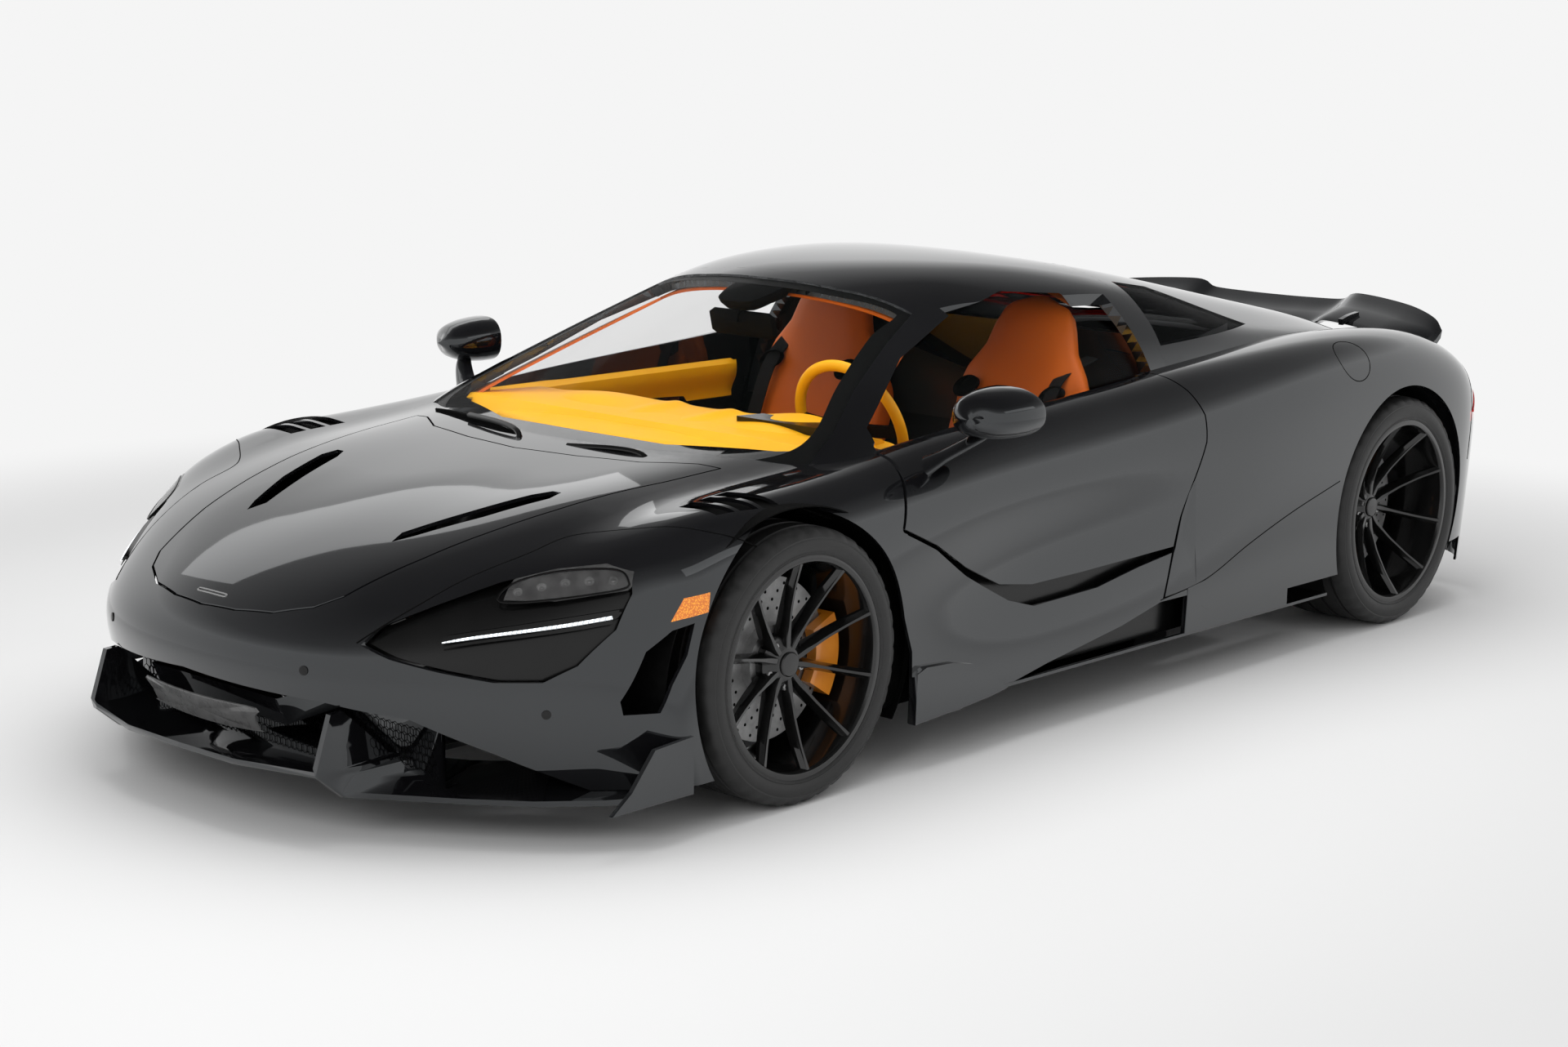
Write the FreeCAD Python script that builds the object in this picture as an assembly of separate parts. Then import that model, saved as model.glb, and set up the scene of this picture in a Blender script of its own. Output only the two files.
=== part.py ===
import FreeCAD, Part
import math
import os

os.makedirs("parts", exist_ok=True)

# A low two-seat open-topped sports car with its engine behind the cabin.
# Millimetres: +X is forward, +Y is left, +Z is up, and the origin is on the ground under the middle.

# Driving dimensions
half_length = 2270
half_width = 965
height = 1170
wheelbase = 2670
axle_setback = 150
front_wheel_y = 828
rear_wheel_y = 806
front_tyre_radius = 327
rear_tyre_radius = 345.5
front_tyre_width = 241
rear_tyre_width = 301
front_rim_radius = 258.8
rear_rim_radius = 271.5

# Thicknesses and clearances
panel_thickness = 9
roof_thickness = 26
pillar_thickness = 34
glass_thickness = 5
shut_gap = 5.4
door_front_gap = 9
door_flange = 34
fit_gap = 0.3
running_gap = 0.4

# Hinges
barrel_radius = 11
arm_radius = 8
pin_radius = 5
lug_length = 14
door_axis_degrees = 40

# Lamps and mirrors
socket_depth = 20
lamp_wall = 10
mirror_half_width = 88
mirror_half_height = 58
mirror_arm_radius = 17
mirror_corners = 12

# Wheels, brakes and hubs
rim_inset = 8
hub_radius = 72
hub_depth = 42
front_face_y = 62
rear_face_y = 40
cap_thickness = 12
axle_radius = 24
axle_length = 46
spoke_pairs = 5
spoke_root_degrees = 12
spoke_tip_degrees = 17
root_width = 24
tip_width = 20
bolt_circle_radius = 56
bolt_pocket_radius = 11
bolt_pocket_depth = 16
front_disc_radius = 195
rear_disc_radius = 190
disc_half = 17
hat_radius = 88
hat_thickness = 9
caliper_bridge = 18
caliper_depth = 62
caliper_half = 52
caliper_slot = 6
caliper_sweep_degrees = 56
front_caliper_degrees = 176
rear_caliper_degrees = 4
brake_y = -25

# Knuckles and wishbones, measured from the wheel centre
carrier_radius = 60
carrier_arm_radius = 12
disc_back_gap = 20
kingpin_y = -118
kingpin_half_height = 118
stud_half_length = 46
eye_radius = 16
eye_height = 22
eye_offset = 30
wishbone_radius = 12
front_arm_spread = 150
rear_arm_spread = 170

# Steering wheel
steering_ring_radius = 172
steering_ring_thickness = 15
ring_corners = 6
boss_radius = 52
boss_depth = 40
column_radius = 22

front_axle_x = wheelbase / 2 - axle_setback
rear_axle_x = -wheelbase / 2 - axle_setback
net_degree = 3
across = FreeCAD.Vector(0, 1, 0)
upward = FreeCAD.Vector(0, 0, 1)
origin = FreeCAD.Vector(0, 0, 0)

# Control net of the lower body, half of it. Each row crosses the car, from the nose to the tail,
# and each column runs lengthways: centreline, inner bonnet, bonnet edge, valley, wing crest,
# shoulder, upper side, middle side, lower side and sill. x, y and z are shares of the half length,
# half width and height.
body_net_shares = (
    ((0.938, 0.934, 0.912, 0.863, 0.806, 0.762, 0.733, 0.711, 0.696, 0.683),
     (0, 0.228, 0.446, 0.611, 0.746, 0.829, 0.891, 0.933, 0.955, 0.964),
     (0.103,) * 10),
    ((0.965, 0.957, 0.930, 0.876, 0.813, 0.766, 0.733, 0.709, 0.693, 0.679),
     (0, 0.228, 0.456, 0.632, 0.772, 0.860, 0.917, 0.959, 0.976, 0.971),
     (0.197, 0.197, 0.197, 0.195, 0.192, 0.190, 0.184, 0.175, 0.154, 0.103)),
    ((0.992, 0.983, 0.949, 0.885, 0.817, 0.767, 0.731, 0.707, 0.690, 0.675),
     (0, 0.233, 0.466, 0.642, 0.788, 0.881, 0.938, 0.969, 0.982, 0.974),
     (0.312, 0.312, 0.309, 0.306, 0.299, 0.286, 0.265, 0.231, 0.179, 0.103)),
    ((0.987, 0.976, 0.938, 0.873, 0.810, 0.759, 0.722, 0.701, 0.685, 0.670),
     (0, 0.233, 0.466, 0.642, 0.793, 0.886, 0.943, 0.972, 0.982, 0.974),
     (0.380, 0.380, 0.380, 0.379, 0.372, 0.355, 0.321, 0.265, 0.192, 0.103)),
    ((0.938, 0.930, 0.899, 0.848, 0.789, 0.740, 0.707, 0.689, 0.676, 0.665),
     (0, 0.233, 0.466, 0.642, 0.798, 0.891, 0.948, 0.974, 0.982, 0.974),
     (0.444, 0.444, 0.446, 0.443, 0.438, 0.419, 0.376, 0.299, 0.201, 0.103)),
    ((0.863, 0.861, 0.844, 0.813, 0.762, 0.715, 0.681, 0.670, 0.663, 0.661),
     (0, 0.233, 0.477, 0.648, 0.808, 0.902, 0.959, 0.979, 0.982, 0.974),
     (0.503, 0.500, 0.503, 0.496, 0.496, 0.479, 0.427, 0.325, 0.205, 0.103)),
    ((0.784, 0.781, 0.769, 0.749, 0.722, 0.685, 0.663, 0.654, 0.650, 0.648),
     (0, 0.233, 0.492, 0.658, 0.819, 0.917, 0.969, 0.982, 0.982, 0.974),
     (0.549, 0.546, 0.551, 0.537, 0.547, 0.530, 0.466, 0.342, 0.207, 0.103)),
    ((0.687, 0.685, 0.678, 0.663, 0.648, 0.632, 0.626, 0.623, 0.622, 0.621),
     (0, 0.233, 0.508, 0.668, 0.829, 0.933, 0.976, 0.984, 0.982, 0.974),
     (0.588, 0.585, 0.591, 0.571, 0.590, 0.564, 0.483, 0.350, 0.208, 0.103)),
    ((0.595,) * 10,
     (0, 0.233, 0.523, 0.679, 0.837, 0.941, 0.982, 0.987, 0.982, 0.974),
     (0.614, 0.611, 0.614, 0.588, 0.613, 0.574, 0.487, 0.355, 0.209, 0.103)),
    ((0.507,) * 10,
     (0, 0.233, 0.539, 0.689, 0.841, 0.943, 0.984, 0.987, 0.980, 0.972),
     (0.632, 0.631, 0.628, 0.598, 0.622, 0.578, 0.487, 0.355, 0.209, 0.103)),
    ((0.410,) * 10,
     (0, 0.233, 0.560, 0.705, 0.845, 0.938, 0.979, 0.979, 0.979, 0.972),
     (0.647, 0.645, 0.643, 0.617, 0.631, 0.581, 0.489, 0.355, 0.209, 0.103)),
    ((0.308,) * 10,
     (0, 0.238, 0.580, 0.725, 0.845, 0.933, 0.969, 0.948, 0.979, 0.974),
     (0.662, 0.662, 0.660, 0.650, 0.643, 0.590, 0.496, 0.368, 0.214, 0.103)),
    ((0.189,) * 10,
     (0, 0.238, 0.580, 0.725, 0.839, 0.922, 0.959, 0.912, 0.984, 0.979),
     (0.675, 0.675, 0.675, 0.675, 0.662, 0.603, 0.513, 0.385, 0.231, 0.103)),
    ((0.057,) * 10,
     (0, 0.238, 0.580, 0.725, 0.829, 0.917, 0.959, 0.912, 0.990, 0.984),
     (0.684, 0.684, 0.684, 0.688, 0.684, 0.620, 0.534, 0.402, 0.244, 0.103)),
    ((-0.075,) * 10,
     (0, 0.238, 0.580, 0.725, 0.824, 0.917, 0.964, 0.933, 0.993, 0.984),
     (0.697, 0.697, 0.697, 0.701, 0.701, 0.641, 0.556, 0.410, 0.248, 0.103)),
    ((-0.198,) * 10,
     (0, 0.238, 0.570, 0.725, 0.824, 0.927, 0.974, 0.964, 0.995, 0.984),
     (0.709, 0.709, 0.709, 0.718, 0.722, 0.667, 0.573, 0.419, 0.248, 0.103)),
    ((-0.322,) * 10,
     (0, 0.238, 0.560, 0.725, 0.839, 0.943, 0.990, 0.984, 0.997, 0.984),
     (0.718, 0.718, 0.718, 0.733, 0.742, 0.692, 0.590, 0.427, 0.248, 0.103)),
    ((-0.449,) * 10,
     (0, 0.238, 0.549, 0.715, 0.850, 0.959, 0.998, 0.995, 0.997, 0.984),
     (0.726, 0.726, 0.726, 0.748, 0.761, 0.714, 0.603, 0.432, 0.248, 0.103)),
    ((-0.581,) * 10,
     (0, 0.238, 0.549, 0.715, 0.855, 0.964, 1.000, 1.000, 0.998, 0.984),
     (0.725, 0.725, 0.726, 0.756, 0.771, 0.726, 0.609, 0.436, 0.248, 0.103)),
    ((-0.714,) * 10,
     (0, 0.238, 0.549, 0.715, 0.850, 0.962, 1.000, 1.000, 0.995, 0.979),
     (0.714, 0.714, 0.718, 0.742, 0.761, 0.718, 0.607, 0.436, 0.248, 0.103)),
    ((-0.828,) * 10,
     (0, 0.238, 0.539, 0.705, 0.829, 0.938, 0.984, 0.984, 0.974, 0.953),
     (0.701, 0.701, 0.703, 0.708, 0.711, 0.671, 0.590, 0.432, 0.248, 0.103)),
    ((-0.916, -0.915, -0.912, -0.903, -0.894, -0.885, -0.881, -0.881, -0.881, -0.881),
     (0, 0.238, 0.528, 0.684, 0.793, 0.891, 0.938, 0.938, 0.922, 0.912),
     (0.679, 0.679, 0.679, 0.671, 0.650, 0.620, 0.556, 0.419, 0.248, 0.103)),
    ((-0.960, -0.959, -0.955, -0.945, -0.934, -0.923, -0.916, -0.912, -0.907, -0.903),
     (0, 0.238, 0.518, 0.663, 0.762, 0.850, 0.891, 0.891, 0.881, 0.870),
     (0.650, 0.650, 0.650, 0.641, 0.620, 0.590, 0.526, 0.406, 0.248, 0.103)),
    ((-0.965, -0.965, -0.960, -0.952, -0.943, -0.934, -0.927, -0.923, -0.916, -0.912),
     (0, 0.238, 0.508, 0.648, 0.741, 0.819, 0.855, 0.860, 0.850, 0.839),
     (0.479, 0.479, 0.479, 0.479, 0.474, 0.453, 0.410, 0.342, 0.231, 0.103)),
    ((-0.943, -0.943, -0.938, -0.932, -0.925, -0.923, -0.921, -0.919, -0.916, -0.912),
     (0, 0.238, 0.497, 0.622, 0.715, 0.777, 0.808, 0.819, 0.824, 0.829),
     (0.103,) * 10),
)

# Control net of the glasshouse and rear deck, half of it, from the cowl to the tail.
canopy_net_shares = (
    ((0.542, 0.540, 0.524, 0.498, 0.463, 0.423, 0.396),
     (0, 0.207, 0.415, 0.580, 0.715, 0.819, 0.850),
     (0.530,) * 7),
    ((0.518, 0.513, 0.496, 0.467, 0.432, 0.396, 0.374),
     (0, 0.207, 0.415, 0.580, 0.715, 0.819, 0.850),
     (0.598, 0.598, 0.598, 0.598, 0.598, 0.590, 0.530)),
    ((0.480, 0.476, 0.456, 0.423, 0.383, 0.352, 0.335),
     (0, 0.207, 0.415, 0.575, 0.715, 0.813, 0.845),
     (0.643, 0.643, 0.643, 0.646, 0.654, 0.641, 0.530)),
    ((0.361, 0.358, 0.341, 0.308, 0.282, 0.264, 0.256),
     (0, 0.207, 0.404, 0.549, 0.684, 0.803, 0.839),
     (0.761, 0.759, 0.750, 0.744, 0.735, 0.667, 0.530)),
    ((0.247, 0.243, 0.229, 0.198, 0.176, 0.172, 0.167),
     (0, 0.202, 0.389, 0.518, 0.648, 0.793, 0.834),
     (0.863, 0.860, 0.846, 0.829, 0.799, 0.684, 0.530)),
    ((0.132, 0.130, 0.119, 0.097, 0.079, 0.075, 0.075),
     (0, 0.197, 0.378, 0.497, 0.611, 0.782, 0.829),
     (0.944, 0.940, 0.923, 0.891, 0.850, 0.692, 0.530)),
    ((0.026,) * 7,
     (0, 0.197, 0.378, 0.508, 0.596, 0.777, 0.824),
     (0.979, 0.975, 0.958, 0.923, 0.876, 0.701, 0.530)),
    ((-0.088,) * 7,
     (0, 0.197, 0.383, 0.518, 0.601, 0.777, 0.824),
     (0.989, 0.985, 0.968, 0.929, 0.882, 0.709, 0.530)),
    ((-0.189,) * 7,
     (0, 0.197, 0.389, 0.523, 0.611, 0.777, 0.824),
     (0.969, 0.967, 0.956, 0.919, 0.876, 0.718, 0.530)),
    ((-0.273,) * 7,
     (0, 0.197, 0.389, 0.523, 0.622, 0.782, 0.829),
     (0.927, 0.933, 0.936, 0.904, 0.859, 0.726, 0.530)),
    ((-0.361,) * 7,
     (0, 0.197, 0.383, 0.518, 0.632, 0.788, 0.829),
     (0.885, 0.896, 0.904, 0.879, 0.829, 0.735, 0.530)),
    ((-0.485,) * 7,
     (0, 0.197, 0.383, 0.518, 0.632, 0.788, 0.829),
     (0.825, 0.842, 0.859, 0.833, 0.782, 0.735, 0.530)),
    ((-0.617,) * 7,
     (0, 0.197, 0.383, 0.518, 0.632, 0.788, 0.829),
     (0.774, 0.786, 0.803, 0.791, 0.761, 0.726, 0.530)),
    ((-0.749,) * 7,
     (0, 0.197, 0.383, 0.518, 0.632, 0.767, 0.808),
     (0.735, 0.744, 0.752, 0.744, 0.726, 0.701, 0.530)),
    ((-0.828,) * 7,
     (0, 0.197, 0.383, 0.518, 0.622, 0.725, 0.767),
     (0.667, 0.671, 0.675, 0.667, 0.650, 0.632, 0.530)),
    ((-0.859,) * 7,
     (0, 0.197, 0.383, 0.518, 0.611, 0.705, 0.746),
     (0.530,) * 7),
)


def place(x_share, y_share, z_share):
    return FreeCAD.Vector(x_share * half_length, y_share * half_width, z_share * height)


def net_rows(net_shares):
    rows = []
    for x_shares, y_shares, z_shares in net_shares:
        left = [place(*shares) for shares in zip(x_shares, y_shares, z_shares)]
        right = [FreeCAD.Vector(pole.x, -pole.y, pole.z) for pole in reversed(left[1:])]
        rows.append(right + left)
    return rows


def net_surface(rows):
    sizes = (len(rows), len(rows[0]))
    knots = [list(range(size - net_degree + 1)) for size in sizes]
    counts = [[net_degree + 1] + [1] * (size - net_degree - 1) + [net_degree + 1] for size in sizes]
    surface = Part.BSplineSurface()
    surface.buildFromPolesMultsKnots(rows, counts[0], counts[1], knots[0], knots[1],
                                     False, False, net_degree, net_degree)
    return surface


def offset_rows(rows, depth):
    """Move every pole inward by a depth, and sink the rim so that a cut with it stays open below."""
    last_row, last_column = len(rows) - 1, len(rows[0]) - 1
    moved = []
    for i, row in enumerate(rows):
        new_row = []
        for j, pole in enumerate(row):
            along = rows[min(i + 1, last_row)][j] - rows[max(i - 1, 0)][j]
            over = row[min(j + 1, last_column)] - row[max(j - 1, 0)]
            normal = over.cross(along)
            normal.normalize()
            inner = pole - normal * depth
            if i in (0, last_row) or j in (0, last_column):
                inner.z = rows[0][0].z - depth
            new_row.append(inner)
        moved.append(new_row)
    return moved


def closed_solid(rows):
    skin = net_surface(rows).toShape()
    base = Part.Face(Part.Wire(Part.__sortEdges__(skin.Edges)))
    solid = Part.Solid(Part.Shell([skin, base]))
    if solid.Volume < 0:
        solid.reverse()
    return solid


def polygon(points):
    return Part.Face(Part.makePolygon(list(points) + [points[0]]))


def side_prism(outline_shares, inner_share, outer_share):
    """Extrude a side-view outline of x and z shares from one y share to another."""
    points = [place(x, inner_share, z) for x, z in outline_shares]
    return polygon(points).extrude(across * (outer_share - inner_share) * half_width)


def top_prism(outline_shares, low_share, high_share):
    """Extrude a top-view outline of x and y shares from one z share to another."""
    points = [place(x, y, low_share) for x, y in outline_shares]
    return polygon(points).extrude(upward * (high_share - low_share) * height)


def front_prism(outline_shares, back_share, front_share, both=False):
    """Extrude a front-view outline of y and z shares from one x share to another."""
    outline = list(outline_shares)
    if both:
        outline += [(-y, z) for y, z in reversed(outline_shares) if y]
    points = [place(back_share, y, z) for y, z in outline]
    return polygon(points).extrude(FreeCAD.Vector((front_share - back_share) * half_length, 0, 0))


def box(x_shares, y_shares, z_shares):
    corner = place(x_shares[0], y_shares[0], z_shares[0])
    size = place(x_shares[1], y_shares[1], z_shares[1]) - corner
    return Part.makeBox(size.x, size.y, size.z, corner)


def mirrored(shape):
    return shape.mirror(origin, across)


def both_sides(shape):
    return Part.makeCompound([shape, mirrored(shape)])


def symmetric_outline(outline_shares):
    return list(outline_shares) + [(x, -y) for x, y in reversed(outline_shares) if y]


def rod(start, end, radius):
    reach = end - start
    return Part.makeCylinder(radius, reach.Length, start, reach)


def revolved(profile, start_angle=0, sweep=360):
    """Turn a profile of radius and y points about the local Y axis."""
    points = [FreeCAD.Vector(radius, y, 0) for radius, y in profile]
    solid = polygon(points).revolve(origin, across, sweep)
    solid.rotate(origin, across, start_angle)
    return solid


def biggest(shape, count=1):
    """Keep the largest solids of a cut, and drop slivers."""
    solids = sorted(shape.Solids, key=lambda solid: solid.Volume, reverse=True)[:count]
    return solids[0] if count == 1 else Part.makeCompound(solids)


def save(name, shape):
    shape.exportStep("parts/" + name + ".step")


# Outer volumes and the skins cut from them
body_rows = net_rows(body_net_shares)
canopy_rows = net_rows(canopy_net_shares)
body_volume = closed_solid(body_rows)
canopy_volume = closed_solid(canopy_rows)
inner_volume = closed_solid(offset_rows(body_rows, panel_thickness))
body_skin = body_volume.cut(inner_volume)
roof_skin = canopy_volume.cut(closed_solid(offset_rows(canopy_rows, roof_thickness)))
pillar_skin = canopy_volume.cut(closed_solid(offset_rows(canopy_rows, pillar_thickness)))
glass_skin = canopy_volume.cut(closed_solid(offset_rows(canopy_rows, glass_thickness)))


def grown(face, distance):
    return face.makeOffset2D(distance)


def hinge(centre, axis, half_barrel, arm_way, arm_length, foot_way, foot_length):
    """Make a barrel and arm for the moving piece, and a pin, two lugs and their feet for the fixed one."""
    start = centre - axis * half_barrel
    barrel = Part.makeCylinder(barrel_radius, half_barrel * 2, start, axis)
    bore = Part.makeCylinder(pin_radius + running_gap, half_barrel * 2, start, axis)
    moving = barrel.fuse(rod(centre, centre + arm_way * arm_length, arm_radius)).cut(bore)
    pin_start = start - axis * (lug_length + running_gap)
    fixed = Part.makeCylinder(pin_radius, (half_barrel + lug_length + running_gap) * 2, pin_start, axis)
    turning_space = Part.makeCylinder(barrel_radius + running_gap, (half_barrel + running_gap) * 2,
                                      start - axis * running_gap, axis)
    for side in (-1, 1):
        middle = centre + axis * side * (half_barrel + running_gap + lug_length / 2)
        lug = Part.makeCylinder(barrel_radius, lug_length, middle - axis * lug_length / 2, axis)
        foot = rod(middle, middle + foot_way * foot_length, lug_length / 2 - running_gap).cut(turning_space)
        fixed = fixed.fuse([lug, foot])
    return moving, fixed


# Wheel wells: the lip follows the tyre, and the space inside leaves room for a steered wheel
def wheel_well(axle_x, tyre_radius, gap, reach, inner_share):
    lip_radius = tyre_radius + gap
    middle = FreeCAD.Vector(axle_x, 0, tyre_radius)
    level = FreeCAD.Vector(axle_x + reach, 0, tyre_radius)
    top = FreeCAD.Vector(axle_x, 0, tyre_radius + lip_radius)
    profile = Part.Face(Part.Wire(Part.Ellipse(level, top, middle).toShape()))
    well = profile.extrude(across * half_width * (well_wall_share - inner_share))
    well.translate(across * half_width * inner_share)
    wall = middle + across * half_width * well_wall_share
    opening = Part.makeCylinder(lip_radius, half_width, wall, across)
    return well.fuse(opening)


well_wall_share = 0.922
lip_gap = 36
front_well_reach = 415
rear_well_reach = 386
front_well_inner_share = 0.539
rear_well_inner_share = 0.611
front_well = wheel_well(front_axle_x, front_tyre_radius, lip_gap, front_well_reach, front_well_inner_share)
rear_well = wheel_well(rear_axle_x, rear_tyre_radius, lip_gap, rear_well_reach, rear_well_inner_share)
wells = [front_well, mirrored(front_well), rear_well, mirrored(rear_well)]

# Shut lines. Side views give x and z shares, and top views give x and y shares.
bonnet_outline_shares = ((0.957, 0), (0.953, 0.114), (0.942, 0.223), (0.921, 0.311), (0.899, 0.354),
                         (0.822, 0.420), (0.748, 0.468), (0.679, 0.506), (0.616, 0.531), (0.547, 0.560),
                         (0.474, 0.576), (0.480, 0.518), (0.515, 0.394), (0.533, 0.207), (0.543, 0))
nose_outline_shares = ((0.921, 0), (0.907, 0.259), (0.907, 0.415), (0.869, 0.523), (0.826, 0.566),
                       (0.766, 0.616), (0.711, 0.655), (0.662, 0.785), (0.630, 0.896), (0.587, 0.952),
                       (0.568, 1.140), (1.057, 1.140))
wing_outline_shares = ((0.947, 0), (0.947, 1.140), (0.308, 1.140), (0.308, 0.741), (0.423, 0.715),
                       (0.469, 0.642), (0.509, 0.415))
cowl_outline_shares = ((0.573, 0), (0.551, 0.415), (0.498, 0.622), (0.469, 0.642), (0.423, 0.715),
                       (0.352, 0.741), (0.352, 0.663), (0.388, 0.580), (0.441, 0.311), (0.445, 0))
door_outline_shares = ((0.308, 0.855), (0.318, 0.643), (0.330, 0.617), (0.346, 0.573), (0.362, 0.513),
                       (0.308, 0.466), (0.251, 0.402), (0.189, 0.346), (0.132, 0.330), (0.044, 0.332),
                       (-0.053, 0.338), (-0.132, 0.344), (-0.148, 0.410), (-0.175, 0.496), (-0.197, 0.573),
                       (-0.204, 0.632), (-0.199, 0.684), (-0.187, 0.735), (-0.172, 0.855))
skirt_outline_shares = ((0.353, 0), (0.352, 0.256), (0.372, 0.376), (0.402, 0.500), (0.388, 0.511),
                        (0.362, 0.503), (0.308, 0.455), (0.251, 0.383), (0.177, 0.308), (0.134, 0.284),
                        (0.018, 0.291), (-0.064, 0.315), (-0.128, 0.330), (-0.106, 0.228), (-0.194, 0.251),
                        (-0.286, 0.308), (-0.380, 0.365), (-0.487, 0.415), (-0.529, 0.427), (-0.529, 0.175),
                        (-0.308, 0.175), (-0.205, 0.170), (-0.157, 0.224), (-0.102, 0.224), (-0.025, 0.193),
                        (0.117, 0.154), (0.194, 0.127), (0.264, 0.115), (0.286, 0))
tail_outline_shares = ((-0.930, 0), (-0.907, 0.663), (-0.861, 0.891), (-0.855, 1.140),
                       (-1.101, 1.140))
deck_edge_share = 0.715
door_inner_share = 0.769
skirt_inner_share = 0.622
cowl_low_share = 0.427
screen_low_share = 0.513
window_inner_share = 0.466
roof_low_share = 0.769
buttress_inner_share = 0.311
bonnet_low_share = 0.342
below_share = -0.043
above_share = 1.111
beside_share = 1.140

bonnet_face = polygon([place(x, y, bonnet_low_share) for x, y in symmetric_outline(bonnet_outline_shares)])
bonnet_prism = bonnet_face.extrude(upward * height)
bonnet_space = grown(bonnet_face, shut_gap).extrude(upward * height)
nose_prism = top_prism(symmetric_outline(nose_outline_shares), below_share, above_share)
tail_prism = top_prism(symmetric_outline(tail_outline_shares), below_share, above_share)
door_face = polygon([place(x, door_inner_share, z) for x, z in door_outline_shares])
door_prism = door_face.extrude(across * half_width)
door_space = grown(door_face, shut_gap).extrude(across * half_width)
door_space.translate(across * -shut_gap)
skirt_prism = side_prism(skirt_outline_shares, skirt_inner_share, beside_share)
wing_prism = top_prism(wing_outline_shares, below_share, above_share)
cowl_prism = top_prism(symmetric_outline(cowl_outline_shares), cowl_low_share, above_share)

# Glass outlines
screen_outline_shares = ((0.573, 0), (0.529, 0.415), (0.463, 0.632), (0.399, 0.715), (0.348, 0.686),
                         (0.273, 0.606), (0.185, 0.534), (0.115, 0.487), (0.132, 0.249), (0.136, 0))
window_outline_shares = ((0.308, 0.684), (0.189, 0.799), (0.075, 0.874), (-0.026, 0.911), (-0.123, 0.896),
                         (-0.167, 0.821), (-0.176, 0.598), (0.326, 0.598))
roof_outline_shares = ((0.111, 0), (0.107, 0.249), (0.090, 0.508), (0.026, 0.539), (-0.132, 0.568),
                       (-0.207, 0.572), (-0.207, 0))
buttress_outline_shares = ((-0.247, 0.769), (-0.264, 0.906), (-0.335, 0.885), (-0.476, 0.782))
screen_prism = top_prism(symmetric_outline(screen_outline_shares), screen_low_share, above_share)
window_face = polygon([place(x, window_inner_share, z) for x, z in window_outline_shares])
window_prism = window_face.extrude(across * half_width)
window_space = grown(window_face, shut_gap).extrude(across * half_width)
roof_prism = top_prism(symmetric_outline(roof_outline_shares), roof_low_share, above_share)
buttress_prism = side_prism(buttress_outline_shares, buttress_inner_share, beside_share)

# Body panels
cabin_end_share = -0.207
hoop_end_share = -0.240
body_end_share = -1.057
cabin_start_share = 0.079
cowl_end_share = 0.573
whole_width_shares = (-beside_share, beside_share)
whole_height_shares = (below_share, above_share)
canopy_height_shares = (screen_low_share, above_share)
deck_width_shares = (-deck_edge_share, deck_edge_share)
deck_height_shares = (cowl_low_share, above_share)
cabin_front = box((cabin_start_share, cowl_end_share), whole_width_shares, canopy_height_shares)
behind_cabin = box((body_end_share, hoop_end_share), whole_width_shares, whole_height_shares)
deck_width = box((body_end_share, hoop_end_share), deck_width_shares, deck_height_shares)

intake_outline_shares = ((0, 0.295), (0.193, 0.285), (0.404, 0.275), (0.576, 0.250), (0.704, 0.182),
                         (0.785, 0.132), (0.829, 0.103), (0.829, -0.017), (0, -0.017))
socket_outline_shares = ((0.477, 0.385), (0.490, 0.414), (0.567, 0.454), (0.647, 0.493), (0.721, 0.516),
                         (0.805, 0.527), (0.860, 0.515), (0.877, 0.477), (0.876, 0.415), (0.839, 0.352),
                         (0.792, 0.322), (0.718, 0.323), (0.632, 0.341), (0.541, 0.363))
slot_outline_shares = ((0.749, 0.255), (0.752, 0.282), (0.727, 0.372), (0.700, 0.407), (0.677, 0.417),
                       (0.688, 0.359), (0.706, 0.308), (0.719, 0.256))
vent_outline_shares = ((0.813, 0.278), (0.793, 0.261), (0.722, 0.323), (0.661, 0.371), (0.642, 0.399),
                       (0.641, 0.427), (0.661, 0.435), (0.731, 0.381), (0.793, 0.309))
louvre_corner_shares = ((0.610, 0.738), (0.529, 0.725), (0.525, 0.897), (0.610, 0.858))
louvre_count = 3
louvre_blade_share = 0.22
intake_back_share, intake_front_share = 0.705, 1.057
lamp_back_share, lamp_front_share = 0.709, 0.969
slot_inner_share = 0.829
vent_low_share = 0.385
intake_prism = front_prism(intake_outline_shares, intake_back_share, intake_front_share, both=True)
socket_prism = front_prism(socket_outline_shares, lamp_back_share, lamp_front_share)
slot_prism = side_prism(slot_outline_shares, slot_inner_share, beside_share)
vent_prism = top_prism(vent_outline_shares, vent_low_share, above_share)
louvre_prisms = []
for slot in range(louvre_count):
    near_share = (slot + louvre_blade_share) / louvre_count
    far_share = (slot + 1) / louvre_count
    inner_front, inner_back, outer_back, outer_front = louvre_corner_shares
    outline_shares = []
    for front_corner, back_corner, share in ((inner_front, inner_back, near_share),
                                             (inner_front, inner_back, far_share),
                                             (outer_front, outer_back, far_share),
                                             (outer_front, outer_back, near_share)):
        outline_shares.append([a + (b - a) * share for a, b in zip(front_corner, back_corner)])
    louvre_prisms.append(top_prism(outline_shares, cowl_low_share, above_share))

bonnet = biggest(body_skin.common(bonnet_prism).cut([vent_prism, mirrored(vent_prism)]))
front_cuts = [intake_prism, socket_prism, mirrored(socket_prism), slot_prism, mirrored(slot_prism)]
front_bumper = biggest(body_skin.common(nose_prism).cut([bonnet_space] + front_cuts + wells))
door_sweep = grown(door_face, door_front_gap).extrude(across * half_width)
below_door_shares = ((0.264, 0.359), (0.622, 1.140), (0.427, 0.513))
below_door = box(*below_door_shares)
wing_cuts = [bonnet_space, nose_prism, skirt_prism, door_sweep, below_door] + louvre_prisms + wells
wing_panel = biggest(body_skin.common(wing_prism).cut(wing_cuts))

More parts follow.
